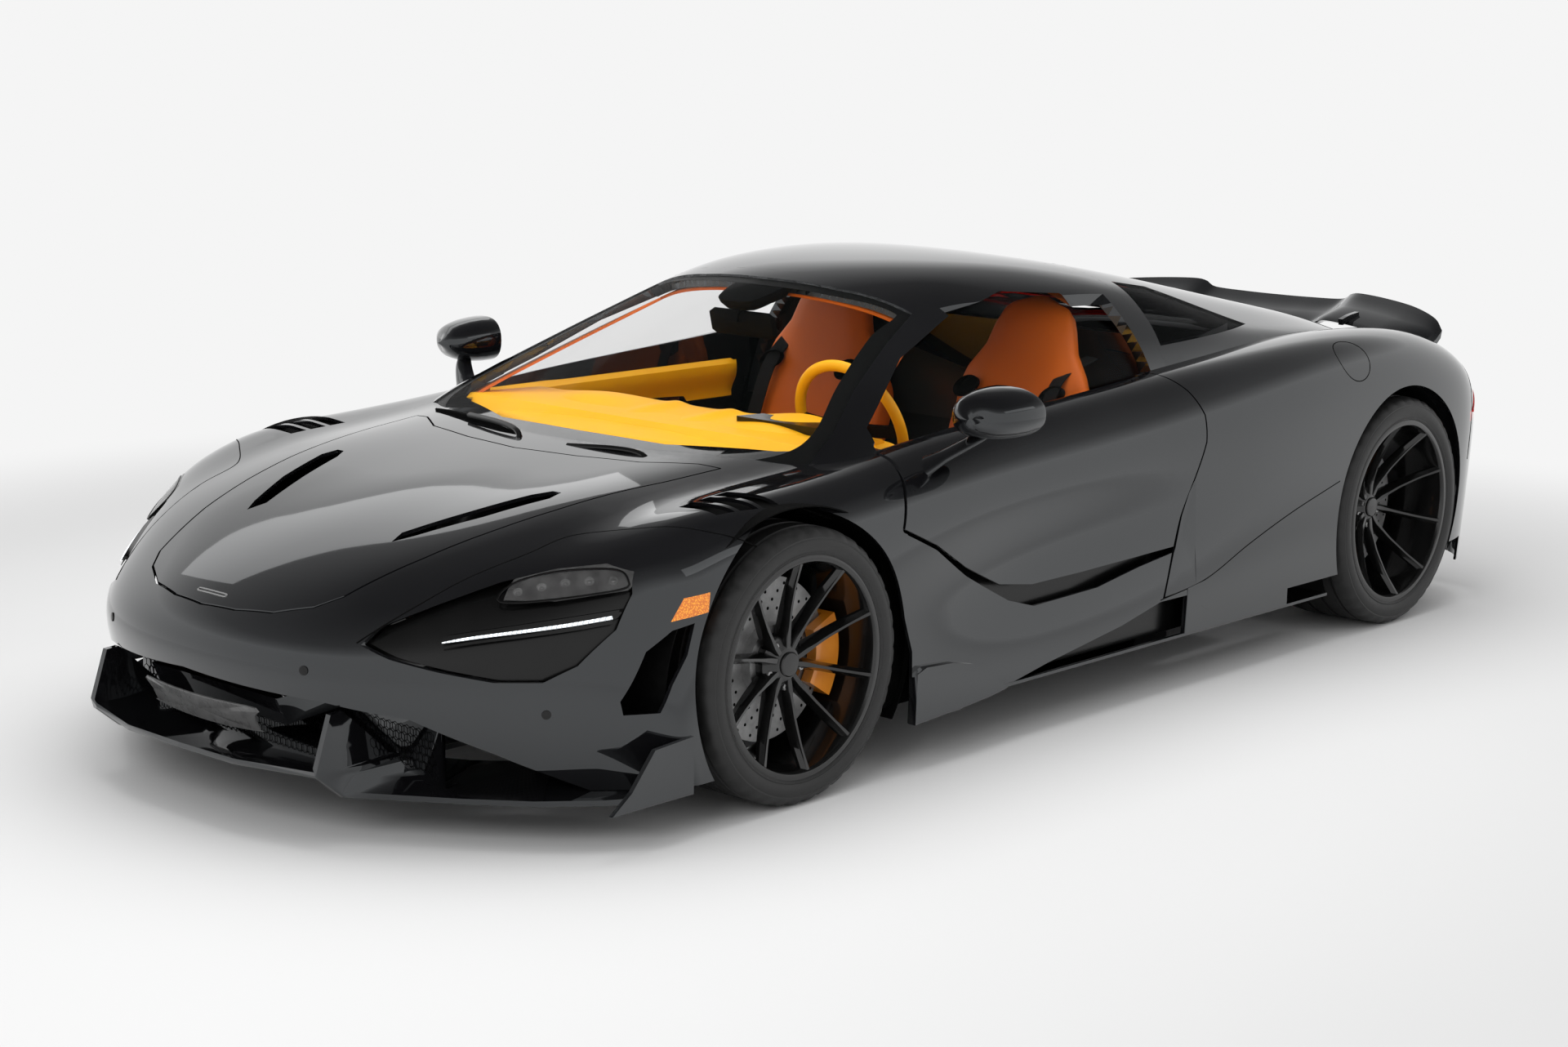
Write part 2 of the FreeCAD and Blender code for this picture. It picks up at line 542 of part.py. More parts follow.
# Side skirts: the panel, a flat sill plate under it, and a blade and a fin that stand on the plate
sill_plate_shares = ((-0.480, 0.273), (0.760, 0.982), (0.126, 0.133))
blade_outline_shares = ((0.354, 0.103), (0.352, 0.210), (0.337, 0.220), (0.292, 0.215), (0.254, 0.199),
                        (0.194, 0.128), (0.220, 0.120), (0.264, 0.113))
fin_outline_shares = ((-0.154, 0.133), (-0.157, 0.240), (-0.201, 0.251), (-0.276, 0.230), (-0.380, 0.184),
                      (-0.380, 0.133))
blade_side_shares = (0.970, 0.993)
fin_side_shares = (0.972, 0.987)
sill_plate = box(*sill_plate_shares)
sill_blade = side_prism(blade_outline_shares, *blade_side_shares)
sill_fin = side_prism(fin_outline_shares, *fin_side_shares)
skirt_panel = body_skin.common(skirt_prism).cut([door_space] + wells)
skirt_panel = biggest(skirt_panel.fuse([sill_plate.cut(wells), sill_blade, sill_fin]))

# Haunches, tail and rear deck
haunch_end_share = -0.174
haunch_low_share = 0.171
diffuser_space_shares = ((-1.101, -0.793), (-0.580, 0.580), (0, 0.295))
haunch_region = box((body_end_share, haunch_end_share), (deck_edge_share, beside_share),
                    (haunch_low_share, above_share))
haunch_cuts = [door_space, skirt_prism, tail_prism, canopy_volume] + wells
haunch = biggest(body_skin.common(haunch_region).cut(haunch_cuts))
rear_bumper = biggest(body_skin.common(tail_prism).cut(wells + [box(*diffuser_space_shares)]))
deck_skin = body_skin.common(deck_width).cut(tail_prism)
canopy_cuts = [body_volume, buttress_prism, mirrored(buttress_prism), tail_prism]
canopy_rear = biggest(roof_skin.common(behind_cabin).cut(canopy_cuts))
rear_deck = biggest(deck_skin.cut(canopy_volume).fuse(canopy_rear))
roof_panel = biggest(roof_skin.common(roof_prism).cut([window_space, mirrored(window_space)]))

# Glass
windscreen = biggest(glass_skin.common(screen_prism).cut(body_volume))
door_glass = biggest(glass_skin.common(window_prism).cut(body_volume))
buttress_glass = biggest(glass_skin.common(buttress_prism).cut(body_volume))

# Tub: floor, sills, bulkheads, luggage trough, windscreen frame, roll hoop and rails
floor_shares = ((-0.396, 0.361), (-0.725, 0.725), (0.091, 0.113))
sill_beam_shares = ((-0.247, 0.339), (0.663, 0.760), (0.103, 0.363))
front_bulkhead_shares = ((0.328, 0.339), (-0.663, 0.663), (0.103, 0.598))
rear_bulkhead_shares = ((-0.264, -0.240), (-0.663, 0.663), (0.103, 0.769))
trough_outer_shares = ((0.337, 0.758), (-0.415, 0.415), (0.128, 0.513))
trough_inner_shares = ((0.352, 0.744), (-0.389, 0.389), (0.150, 0.530))
cowl_beam_shares = ((0.328, 0.396), (-0.760, 0.760), (0.523, 0.611))
door_post_shares = ((0.308, 0.352), (0.663, 0.760), (0.103, 0.611))
front_rail_shares = ((0.749, 0.855), (0.311, 0.394), (0.205, 0.274))
rear_rail_shares = ((-0.881, -0.260), (0.383, 0.446), (0.256, 0.342))
rear_bracket_shares = ((-0.744, -0.564), (0.415, 0.446), (0.154, 0.436))
hoop_wall_shares = ((-0.240, -0.222), (-0.760, 0.760), (0.513, 0.795))
rear_window_shares = ((-0.238, -0.235), (-0.373, 0.373), (0.795, 0.940))
sill_beam = box(*sill_beam_shares)
trough = box(*trough_outer_shares).cut(box(*trough_inner_shares))
door_post = box(*door_post_shares)
front_rail = box(*front_rail_shares)
rear_rail = box(*rear_rail_shares)
rear_bracket = box(*rear_bracket_shares)
window_spaces = [window_space, mirrored(window_space)]
frame_ring = pillar_skin.common(cabin_front).cut([screen_prism, roof_prism] + window_spaces)
hoop_length = box((hoop_end_share, cabin_end_share), whole_width_shares, canopy_height_shares)
hoop_wall = canopy_volume.common(box(*hoop_wall_shares))
hoop = pillar_skin.common(hoop_length).cut(roof_prism).fuse(hoop_wall)
hoop = biggest(hoop.cut(window_spaces))
rear_window = biggest(box(*rear_window_shares).cut(hoop))
cowl = biggest(body_skin.common(cowl_prism).cut([bonnet_space, wing_prism, mirrored(wing_prism)]))
tub = box(*floor_shares).fuse([
    sill_beam, mirrored(sill_beam), door_post, mirrored(door_post), box(*front_bulkhead_shares),
    box(*rear_bulkhead_shares), trough, box(*cowl_beam_shares), front_rail, mirrored(front_rail),
    rear_rail, mirrored(rear_rail), rear_bracket, mirrored(rear_bracket), frame_ring, hoop, cowl])
tub = tub.cut([wing_panel, mirrored(wing_panel), bonnet_space] + wells)

# Doors: a skin with the whole thickness of door behind it, hinged on an axis that leans outwards.
# Ahead of the core the skin is hollow, and the hinge sits there on a bracket from the door post.
lean = math.radians(door_axis_degrees)
door_axis = FreeCAD.Vector(0, math.sin(lean), -math.cos(lean))
door_hinge_shares = (0.319, 0.873, 0.590)
door_hinge_point = place(*door_hinge_shares)
half_door_barrel = 20
door_arm_length = 62
door_foot_length = 132
door_arm, door_lugs = hinge(door_hinge_point, door_axis, half_door_barrel, FreeCAD.Vector(-1, 0, 0),
                            door_arm_length, -across, door_foot_length)
door_core = grown(door_face, -door_flange).extrude(across * half_width)
door_core_shares = ((-0.264, 0.304), (0.725, 1.140), (0.171, 1.111))
door_core = door_core.common(box(*door_core_shares))
door_hollow = inner_volume.common(door_prism.cut(door_core))
door_left = biggest(body_volume.common(door_prism).cut(door_hollow)).fuse(door_arm)

# Front lid, hinged under the cowl. Its arm bends down and forward, and passes ahead of the cowl's edge.
lid_hinge_shares = (0.434, 0.446, 0.590)
lid_hinge_point = place(*lid_hinge_shares)
lid_neck_radius = 180
lid_neck_degrees = (11.5, -19, -48)
lid_foot_length = 99
half_lid_barrel = 14
lid_bends = []
for degrees in lid_neck_degrees:
    turn = math.radians(degrees)
    lid_bends.append(lid_hinge_point + FreeCAD.Vector(math.cos(turn), 0, math.sin(turn)) * lid_neck_radius)
lid_top, lid_bend, lid_elbow = lid_bends
lid_arm_way = lid_elbow - lid_hinge_point
lid_arm_way.normalize()
lid_arm, lid_lugs = hinge(lid_hinge_point, across, half_lid_barrel, lid_arm_way, lid_neck_radius,
                          FreeCAD.Vector(-1, 0, 0), lid_foot_length)
lid_arm = lid_arm.fuse([rod(lid_top, lid_bend, arm_radius), Part.makeSphere(arm_radius, lid_bend),
                        rod(lid_bend, lid_elbow, arm_radius), Part.makeSphere(arm_radius, lid_elbow)])
bonnet = bonnet.fuse([lid_arm, mirrored(lid_arm)])

# Rear wing: a bowed blade whose middle sits lower, carried by two hinged struts
wing_section_shares = ((0, 0), (-0.026, 0.017), (-0.079, 0.021), (-0.132, 0.007), (-0.132, 0),
                       (-0.066, 0.005))
wing_station_shares = ((-0.808, -0.870, 0.689), (-0.622, -0.861, 0.733), (-0.290, -0.864, 0.747),
                       (-0.249, -0.866, 0.733), (0.249, -0.866, 0.733), (0.290, -0.864, 0.747),
                       (0.622, -0.861, 0.733), (0.808, -0.870, 0.689))
blade_wires = []
for y, x, z in wing_station_shares:
    section = [place(x + dx, y, z + dz) for dx, dz in wing_section_shares]
    blade_wires.append(Part.makePolygon(section + [section[0]]))
wing_hinge_shares = (-0.874, 0.415, 0.711)
wing_arm_top_shares = (-0.894, 0.415, 0.744)
wing_hinge_point = place(*wing_hinge_shares)
wing_foot_length = 34
wing_arm_way = place(*wing_arm_top_shares) - wing_hinge_point
wing_arm_length = wing_arm_way.Length
wing_arm_way.normalize()
half_wing_barrel = 14
wing_arm, wing_lugs = hinge(wing_hinge_point, across, half_wing_barrel, wing_arm_way, wing_arm_length,
                            -upward, wing_foot_length)
rear_wing = Part.makeLoft(blade_wires, True, True).fuse([wing_arm, mirrored(wing_arm)])
rear_deck = rear_deck.fuse([wing_lugs, mirrored(wing_lugs)])

# Splitter with its end plates, and diffuser with its fins
centre_blade_shares = ((0.990, 0), (0.988, 0.207), (0.962, 0.432), (0.916, 0.456), (0.771, 0.456),
                       (0.771, 0))
outer_blade_shares = ((0.934, 0.440), (0.913, 0.508), (0.869, 0.663), (0.825, 0.798), (0.776, 0.902),
                      (0.732, 0.964), (0.689, 0.982), (0.689, 0.829), (0.722, 0.580), (0.775, 0.440))
strake_outline_shares = ((0.962, 0.137), (0.965, 0.158), (0.948, 0.256), (0.933, 0.258), (0.877, 0.158),
                         (0.775, 0.103), (0.775, 0.092), (0.934, 0.092))
end_plate_outline_shares = ((0.687, 0.205), (0.687, 0.092), (0.797, 0.092), (0.771, 0.128), (0.740, 0.198))
plinth_outline_shares = ((0.860, 0.214), (0.934, 0.201), (0.947, 0.256), (0.860, 0.265))
intake_back_shares = ((0.855, 0.860), (-0.580, 0.580), (0.102, 0.286))
centre_height_shares = (0.138, 0.149)
outer_height_shares = (0.091, 0.102)
strake_side_shares = (0.428, 0.444)
end_plate_side_shares = (0.972, 0.984)
plinth_side_shares = (-0.244, 0.244)
centre_blade = top_prism(symmetric_outline(centre_blade_shares), *centre_height_shares)
outer_blade = top_prism(outer_blade_shares, *outer_height_shares)
strake = side_prism(strake_outline_shares, *strake_side_shares)
end_plate = side_prism(end_plate_outline_shares, *end_plate_side_shares)
plate_plinth = side_prism(plinth_outline_shares, *plinth_side_shares)
splitter = centre_blade.fuse([outer_blade, mirrored(outer_blade), strake, mirrored(strake), end_plate,
                              mirrored(end_plate), box(*intake_back_shares), plate_plinth])
diffuser_outline_shares = ((-0.828, 0.091), (-0.965, 0.205), (-0.985, 0.282), (-0.976, 0.295),
                           (-0.903, 0.197), (-0.828, 0.113))
tail_fin_outline_shares = ((-0.859, 0.091), (-0.982, 0.111), (-0.983, 0.279), (-0.960, 0.239))
diffuser_fin_shares = (-0.539, -0.342, -0.124, 0.114, 0.332, 0.528)
fin_width_share = 0.010
diffuser_side_shares = (-0.580, 0.580)
diffuser = side_prism(diffuser_outline_shares, *diffuser_side_shares)
for fin_share in diffuser_fin_shares:
    diffuser = diffuser.fuse(side_prism(tail_fin_outline_shares, fin_share, fin_share + fin_width_share))

# Lamps: thick patches of the outer skin, seated in holes cut in the panels
pod_outline_shares = ((0.663, 0.503), (0.681, 0.466), (0.772, 0.466), (0.868, 0.483), (0.883, 0.518),
                      (0.805, 0.534))
strip_outline_shares = ((0.617, 0.395), (0.870, 0.434), (0.870, 0.450), (0.617, 0.405))
marker_outline_shares = ((0.700, 0.423), (0.684, 0.464), (0.656, 0.470), (0.661, 0.434))
tail_lamp_outline_shares = ((0.964, 0.513), (0.580, 0.590), (0.580, 0.573), (0.964, 0.487))
recess_volume = closed_solid(offset_rows(body_rows, socket_depth))
lamp_back = closed_solid(offset_rows(body_rows, socket_depth + lamp_wall))
marker_inner_share = 0.891
tail_lamp_start_share = -0.837
pod_prism = front_prism(pod_outline_shares, lamp_back_share, lamp_front_share)
strip_prism = front_prism(strip_outline_shares, lamp_back_share, lamp_front_share)
marker_prism = side_prism(marker_outline_shares, marker_inner_share, beside_share)
tail_lamp_face = polygon([place(tail_lamp_start_share, y, z) for y, z in tail_lamp_outline_shares])
tail_lamp_prism = tail_lamp_face.extrude(FreeCAD.Vector(-half_length, 0, 0))
lamp_layer = body_volume.cut(lamp_back)
recess = body_volume.cut(recess_volume).common(socket_prism.cut([pod_prism, strip_prism]))
head_lamp = biggest(lamp_layer.common(socket_prism).cut(recess))
left_lamps = [head_lamp] + [biggest(lamp_layer.common(prism)) for prism in (marker_prism, tail_lamp_prism)]
lamps = Part.makeCompound(left_lamps + [mirrored(lamp) for lamp in left_lamps])
lamp_prisms = [marker_prism, tail_lamp_prism]
lamp_spaces = lamp_prisms + [mirrored(prism) for prism in lamp_prisms]
front_bumper = biggest(front_bumper.cut(lamp_spaces))
rear_bumper = biggest(rear_bumper.cut(lamp_spaces))
haunch = biggest(haunch.cut(lamp_prisms))

# Door mirrors: a faceted oval shell on a slanting arm
def oval(centre, size_share):
    corners = []
    for corner in range(mirror_corners):
        angle = 2 * math.pi * (corner + 0.5) / mirror_corners
        corners.append(centre + across * (math.cos(angle) * mirror_half_width * size_share)
                       + upward * (math.sin(angle) * mirror_half_height * size_share))
    return Part.makePolygon(corners + [corners[0]])


mirror_section_shares = ((0.260, 0.716, 0.3), (0.249, 0.718, 0.7), (0.233, 0.720, 0.92), (0.209, 0.722, 1))
mirror_centre_share = 1.021
mirror_foot_shares = (0.264, 0.881, 0.632)
mirror_seat_shares = (0.236, 0.995, 0.709)
mirror_ovals = [oval(place(x, mirror_centre_share, z), size) for x, z, size in mirror_section_shares]
mirror_shell = Part.makeLoft(mirror_ovals, True, True)
mirror_arm = rod(place(*mirror_foot_shares), place(*mirror_seat_shares), mirror_arm_radius)
mirror_left = mirror_shell.fuse(mirror_arm).cut(body_volume)


# Wheels, each in its own frame with Y running out from the car
def turned(profile_shares, radius, half_thickness):
    return revolved([(radius * r, half_thickness * y) for r, y in profile_shares])


tread_profile_shares = ((1, -0.8), (1, 0.8), (0.93, 1))
far_side_profile_shares = ((0.93, -1),)
barrel_profile_shares = ((1, 1), (1, -1), (0.955, -1), (0.91, -0.7), (0.91, 0.7), (0.955, 1))
spoke_root_share = 0.8
spoke_tip_share = 0.92
spoke_back_share = 0.55
spoke_front_share = 0.86
spoke_crown_share = 1 / 2.6


def rim(rim_radius, half_rim, face_y):
    barrel = turned(barrel_profile_shares, rim_radius, half_rim)
    hub = Part.makeCylinder(hub_radius, hub_depth, FreeCAD.Vector(0, face_y - hub_depth, 0), across)
    hub = hub.cut(Part.makeCylinder(axle_radius + running_gap, hub_depth - cap_thickness,
                                    FreeCAD.Vector(0, face_y - hub_depth, 0), across))
    spokes = []
    for pair in range(spoke_pairs):
        for side in (-1, 1):
            angle = 2 * math.pi * pair / spoke_pairs
            inner_angle = angle + side * math.radians(spoke_root_degrees)
            outer_angle = angle + side * math.radians(spoke_tip_degrees)
            root = (hub_radius * spoke_root_share, inner_angle, root_width, face_y - hub_depth, face_y)
            tip = (rim_radius * spoke_tip_share, outer_angle, tip_width, half_rim * spoke_back_share,
                   half_rim * spoke_front_share)
            ends = []
            for reach, turn, width, back, front in (root, tip):
                radial = FreeCAD.Vector(math.sin(turn), 0, math.cos(turn))
                sideways = FreeCAD.Vector(math.cos(turn), 0, -math.sin(turn))
                crown = width * spoke_crown_share
                corners = [radial * reach + sideways * (width / 2) + across * back,
                           radial * reach - sideways * (width / 2) + across * back,
                           radial * reach - sideways * crown + across * front,
                           radial * reach + sideways * crown + across * front]
                ends.append(Part.makePolygon(corners + [corners[0]]))
            spokes.append(Part.makeLoft(ends, True, True))
    wheel = barrel.fuse([hub] + spokes)
    for bolt in range(spoke_pairs):
        angle = 2 * math.pi * (bolt + 0.5) / spoke_pairs
        outward = FreeCAD.Vector(math.sin(angle), 0, math.cos(angle))
        seat = outward * bolt_circle_radius + across * face_y
        wheel = wheel.cut(Part.makeCylinder(bolt_pocket_radius, bolt_pocket_depth, seat, -across))
    return wheel


def disc(disc_radius, hub_back):
    front, back = brake_y + disc_half, brake_y - disc_half
    profile = ((disc_radius, back), (disc_radius, front), (hat_radius, front), (hat_radius, hub_back),
               (axle_radius + running_gap, hub_back), (axle_radius + running_gap, hub_back - hat_thickness),
               (hat_radius - hat_thickness, hub_back - hat_thickness), (hat_radius - hat_thickness, back))
    return revolved(profile)


def caliper(disc_radius, middle_degrees):
    outer = disc_radius + caliper_bridge
    slot = disc_half + caliper_slot
    profile = ((disc_radius - caliper_depth, -caliper_half), (outer, -caliper_half), (outer, caliper_half),
               (disc_radius - caliper_depth, caliper_half), (disc_radius - caliper_depth, slot),
               (disc_radius + caliper_slot, slot), (disc_radius + caliper_slot, -slot),
               (disc_radius - caliper_depth, -slot))
    placed = [(radius, brake_y + y) for radius, y in profile]
    return revolved(placed, middle_degrees - caliper_sweep_degrees / 2, caliper_sweep_degrees)


def at_wheel(shape, wheel_centre, side):
    placed = shape.copy()
    if side < 0:
        placed = mirrored(placed)
    placed.translate(FreeCAD.Vector(wheel_centre.x, side * wheel_centre.y, wheel_centre.z))
    return placed


front_centre = FreeCAD.Vector(front_axle_x, front_wheel_y, front_tyre_radius)
rear_centre = FreeCAD.Vector(rear_axle_x, rear_wheel_y, rear_tyre_radius)
front_sizes = (front_tyre_radius, front_tyre_width, front_rim_radius, front_disc_radius, front_face_y)
rear_sizes = (rear_tyre_radius, rear_tyre_width, rear_rim_radius, rear_disc_radius, rear_face_y)
for end, centre, sizes in (("front", front_centre, front_sizes), ("rear", rear_centre, rear_sizes)):
    tyre_radius, tyre_width, rim_radius, disc_radius, face_y = sizes
    half_rim = tyre_width / 2 - rim_inset
    beads = ((rim_radius + fit_gap, half_rim), (rim_radius + fit_gap, -half_rim))
    profile = [(r * tyre_radius, y * tyre_width / 2) for r, y in tread_profile_shares]
    profile.extend(beads)
    profile.extend((r * tyre_radius, y * tyre_width / 2) for r, y in far_side_profile_shares)
    tyre_shape = revolved(profile)
    rim_shape = rim(rim_radius, half_rim, face_y)
    disc_shape = disc(disc_radius, face_y - hub_depth - fit_gap)
    for side, word in ((1, "left"), (-1, "right")):
        save("tyre_%s_%s" % (end, word), at_wheel(tyre_shape, centre, side))
        save("rim_%s_%s" % (end, word), at_wheel(rim_shape, centre, side))
        save("disc_%s_%s" % (end, word), at_wheel(disc_shape, centre, side))

# Calipers: the front pair sits behind the axle on the knuckles, and the rear pair ahead of its axle
front_caliper = caliper(front_disc_radius, front_caliper_degrees)
rear_caliper = caliper(rear_disc_radius, rear_caliper_degrees)


# Knuckles: a hub carrier with its stub axle, kingpin studs and a foot for the caliper
def knuckle(hub_back, caliper_degrees, disc_radius):
    carrier_start = FreeCAD.Vector(0, hub_back - disc_back_gap, 0)
    carrier_end = FreeCAD.Vector(0, brake_y - caliper_half - fit_gap - carrier_arm_radius * 2, 0)
    carrier = rod(carrier_start, carrier_end, carrier_radius)
    axle = Part.makeCylinder(axle_radius, axle_length, FreeCAD.Vector(0, hub_back - disc_back_gap, 0), across)
    pieces = [axle]
    arm_y = brake_y - caliper_half - fit_gap - carrier_arm_radius
    for side in (-1, 1):
        ball = FreeCAD.Vector(0, kingpin_y, side * kingpin_half_height)
        pieces.append(rod(FreeCAD.Vector(0, arm_y, side * carrier_radius / 2), ball, carrier_arm_radius))
        pieces.append(rod(ball - upward * stud_half_length, ball + upward * stud_half_length, pin_radius))
    turn = math.radians(caliper_degrees)
    foot = FreeCAD.Vector(math.cos(turn), 0, -math.sin(turn)) * (disc_radius - caliper_depth / 2)
    pieces.append(rod(FreeCAD.Vector(0, arm_y, 0), foot + across * arm_y, carrier_arm_radius))
    return carrier.fuse(pieces)


# Double wishbones from the rails to the kingpin studs, with a bored eye round each stud
def wishbones(axle, side_reach, spread):
    arms = []
    for side in (-1, 1):
        eye_centre = axle + FreeCAD.Vector(0, kingpin_y, side * kingpin_half_height)
        eye_low = eye_centre + upward * (side * eye_offset - eye_height / 2)
        eye = Part.makeCylinder(eye_radius, eye_height, eye_low)
        arm = eye
        for end in (-1, 1):
            foot = FreeCAD.Vector(axle.x + end * spread, side_reach, eye_centre.z + side * eye_offset)
            hip = FreeCAD.Vector(axle.x, eye_centre.y, eye_centre.z + side * eye_offset)
            arm = arm.fuse(rod(hip, foot, wishbone_radius))
        arms.append(arm.cut(Part.makeCylinder(pin_radius + running_gap, eye_height * 2,
                                              eye_low - upward * eye_height / 2)))
    return Part.makeCompound(arms)


front_knuckle = knuckle(front_face_y - hub_depth - fit_gap, front_caliper_degrees, front_disc_radius)
rear_knuckle = knuckle(rear_face_y - hub_depth - fit_gap, rear_caliper_degrees, rear_disc_radius)
front_rail_share = 0.409
rear_rail_share = 0.440
front_arms = wishbones(front_centre, front_rail_share * half_width, front_arm_spread)
rear_arms = wishbones(rear_centre, rear_rail_share * half_width, rear_arm_spread)

# Cabin: dashboard, steering wheel and seats
dash_outline_shares = ((0.396, 0.598), (0.361, 0.650), (0.247, 0.643), (0.220, 0.598), (0.229, 0.513),
                       (0.282, 0.359), (0.326, 0.359), (0.326, 0.513))
dash_side_shares = (-0.653, 0.653)
dashboard = side_prism(dash_outline_shares, *dash_side_shares)
console_outline_shares = ((0.308, 0.113), (0.282, 0.368), (0.132, 0.299), (-0.110, 0.282), (-0.110, 0.113))
console_side_shares = (-0.114, 0.114)
dashboard = dashboard.fuse(side_prism(console_outline_shares, *console_side_shares))
seat_outline_shares = ((0.088, 0.113), (0.097, 0.282), (0.070, 0.295), (-0.075, 0.231), (-0.145, 0.479),
                       (-0.181, 0.752), (-0.198, 0.855), (-0.219, 0.842), (-0.207, 0.735), (-0.185, 0.479),
                       (-0.132, 0.154), (-0.119, 0.113))
seat_side_shares = (0.155, 0.622)
seat_left = biggest(side_prism(seat_outline_shares, *seat_side_shares).cut(hoop))
column_start_shares = (0.167, 0.383, 0.632)
column_end_shares = (0.247, 0.383, 0.574)
spoke_thickness_share = 0.7
column_start = place(*column_start_shares)
column_end = place(*column_end_shares)
column_way = column_end - column_start
column_way.normalize()
ring_section = []
for corner in range(ring_corners):
    angle = 2 * math.pi * corner / ring_corners
    reach = steering_ring_radius + math.cos(angle) * steering_ring_thickness
    ring_rise = math.sin(angle) * steering_ring_thickness
    ring_section.append(column_start + across * reach + column_way * ring_rise)
wheel_ring = polygon(ring_section).revolve(column_start, column_way, 360)
boss_start = column_start - column_way * boss_depth / 2
wheel_boss = rod(boss_start, column_start + column_way * boss_depth, boss_radius)
wheel_side = column_way.cross(across)
steering_wheel = wheel_ring.fuse(wheel_boss)
for spoke_end in (across, -across, -wheel_side):
    spoke = rod(column_start, column_start + spoke_end * steering_ring_radius,
                steering_ring_thickness * spoke_thickness_share)
    steering_wheel = steering_wheel.fuse(spoke)
steering_wheel = steering_wheel.fuse(rod(column_start, column_end, column_radius))
column_foot = column_end + column_way * column_radius
dashboard = dashboard.cut(rod(column_start, column_foot, column_radius + running_gap))
engine_shares = ((-0.551, -0.282), (-0.311, 0.311), (0.113, 0.513))
engine = box(*engine_shares)

# Rails and panels open up for what passes through them
tub = tub.cut([door_space, mirrored(door_space)] + window_spaces)
tub = tub.fuse([door_lugs, mirrored(door_lugs), lid_lugs, mirrored(lid_lugs)])
tub = biggest(tub)
dashboard = biggest(dashboard.cut(tub))
front_arms = biggest(front_arms.cut(tub), 2)
rear_arms = biggest(rear_arms.cut(tub), 2)
splitter = biggest(splitter.cut(front_bumper))
windscreen = biggest(windscreen.cut(tub))
rear_deck = biggest(rear_deck.cut(tub))
haunch = biggest(haunch.cut(tub))

pieces = {
    "tub": tub, "bonnet": bonnet, "front_bumper": front_bumper, "front_wings": both_sides(wing_panel),
    "side_skirts": both_sides(skirt_panel), "haunches": both_sides(haunch), "rear_bumper": rear_bumper,
    "rear_deck": rear_deck, "roof_panel": roof_panel, "windscreen": windscreen,
    "rear_glass": Part.makeCompound([buttress_glass, mirrored(buttress_glass), rear_window]),
    "door_left": door_left, "door_right": mirrored(door_left), "door_glass_left": door_glass,
    "door_glass_right": mirrored(door_glass), "mirror_left": mirror_left,
    "mirror_right": mirrored(mirror_left),
    "rear_wing": rear_wing, "splitter": splitter, "diffuser": diffuser, "lamps": lamps,
    "knuckle_front_left": at_wheel(front_knuckle, front_centre, 1),
    "knuckle_front_right": at_wheel(front_knuckle, front_centre, -1),
    "caliper_front_left": at_wheel(front_caliper, front_centre, 1),
    "caliper_front_right": at_wheel(front_caliper, front_centre, -1),
    "rear_knuckles": Part.makeCompound([at_wheel(rear_knuckle, rear_centre, side) for side in (1, -1)]),
    "rear_calipers": Part.makeCompound([at_wheel(rear_caliper, rear_centre, side) for side in (1, -1)]),
    "front_suspension": both_sides(front_arms), "rear_suspension": both_sides(rear_arms),
    "dashboard": dashboard, "seats": both_sides(seat_left), "steering_wheel": steering_wheel,
    "engine": engine,
}
for name, shape in pieces.items():
    save(name, shape)
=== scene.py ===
import math

import bmesh
import bpy
import numpy as np
from mathutils import Matrix, Vector, kdtree


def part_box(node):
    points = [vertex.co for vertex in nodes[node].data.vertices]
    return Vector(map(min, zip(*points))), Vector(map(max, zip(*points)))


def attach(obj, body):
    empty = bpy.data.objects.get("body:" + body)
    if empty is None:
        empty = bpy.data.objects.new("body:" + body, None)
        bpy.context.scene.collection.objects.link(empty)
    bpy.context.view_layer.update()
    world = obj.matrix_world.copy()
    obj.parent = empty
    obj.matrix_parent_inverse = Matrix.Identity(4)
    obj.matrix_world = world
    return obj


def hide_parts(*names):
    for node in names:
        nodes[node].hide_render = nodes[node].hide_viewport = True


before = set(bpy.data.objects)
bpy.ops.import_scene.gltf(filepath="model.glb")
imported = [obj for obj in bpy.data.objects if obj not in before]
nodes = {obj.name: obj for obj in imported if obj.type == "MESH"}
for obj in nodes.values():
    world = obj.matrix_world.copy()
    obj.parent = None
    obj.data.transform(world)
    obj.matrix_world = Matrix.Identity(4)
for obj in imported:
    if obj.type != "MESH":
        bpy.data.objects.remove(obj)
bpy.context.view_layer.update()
SIDES = (("left", 1), ("right", -1))


# Painted body. Pressed and moulded panels in deep gloss black, all cut from
# one smooth outer form, so every panel is shaded with that form's own curve.

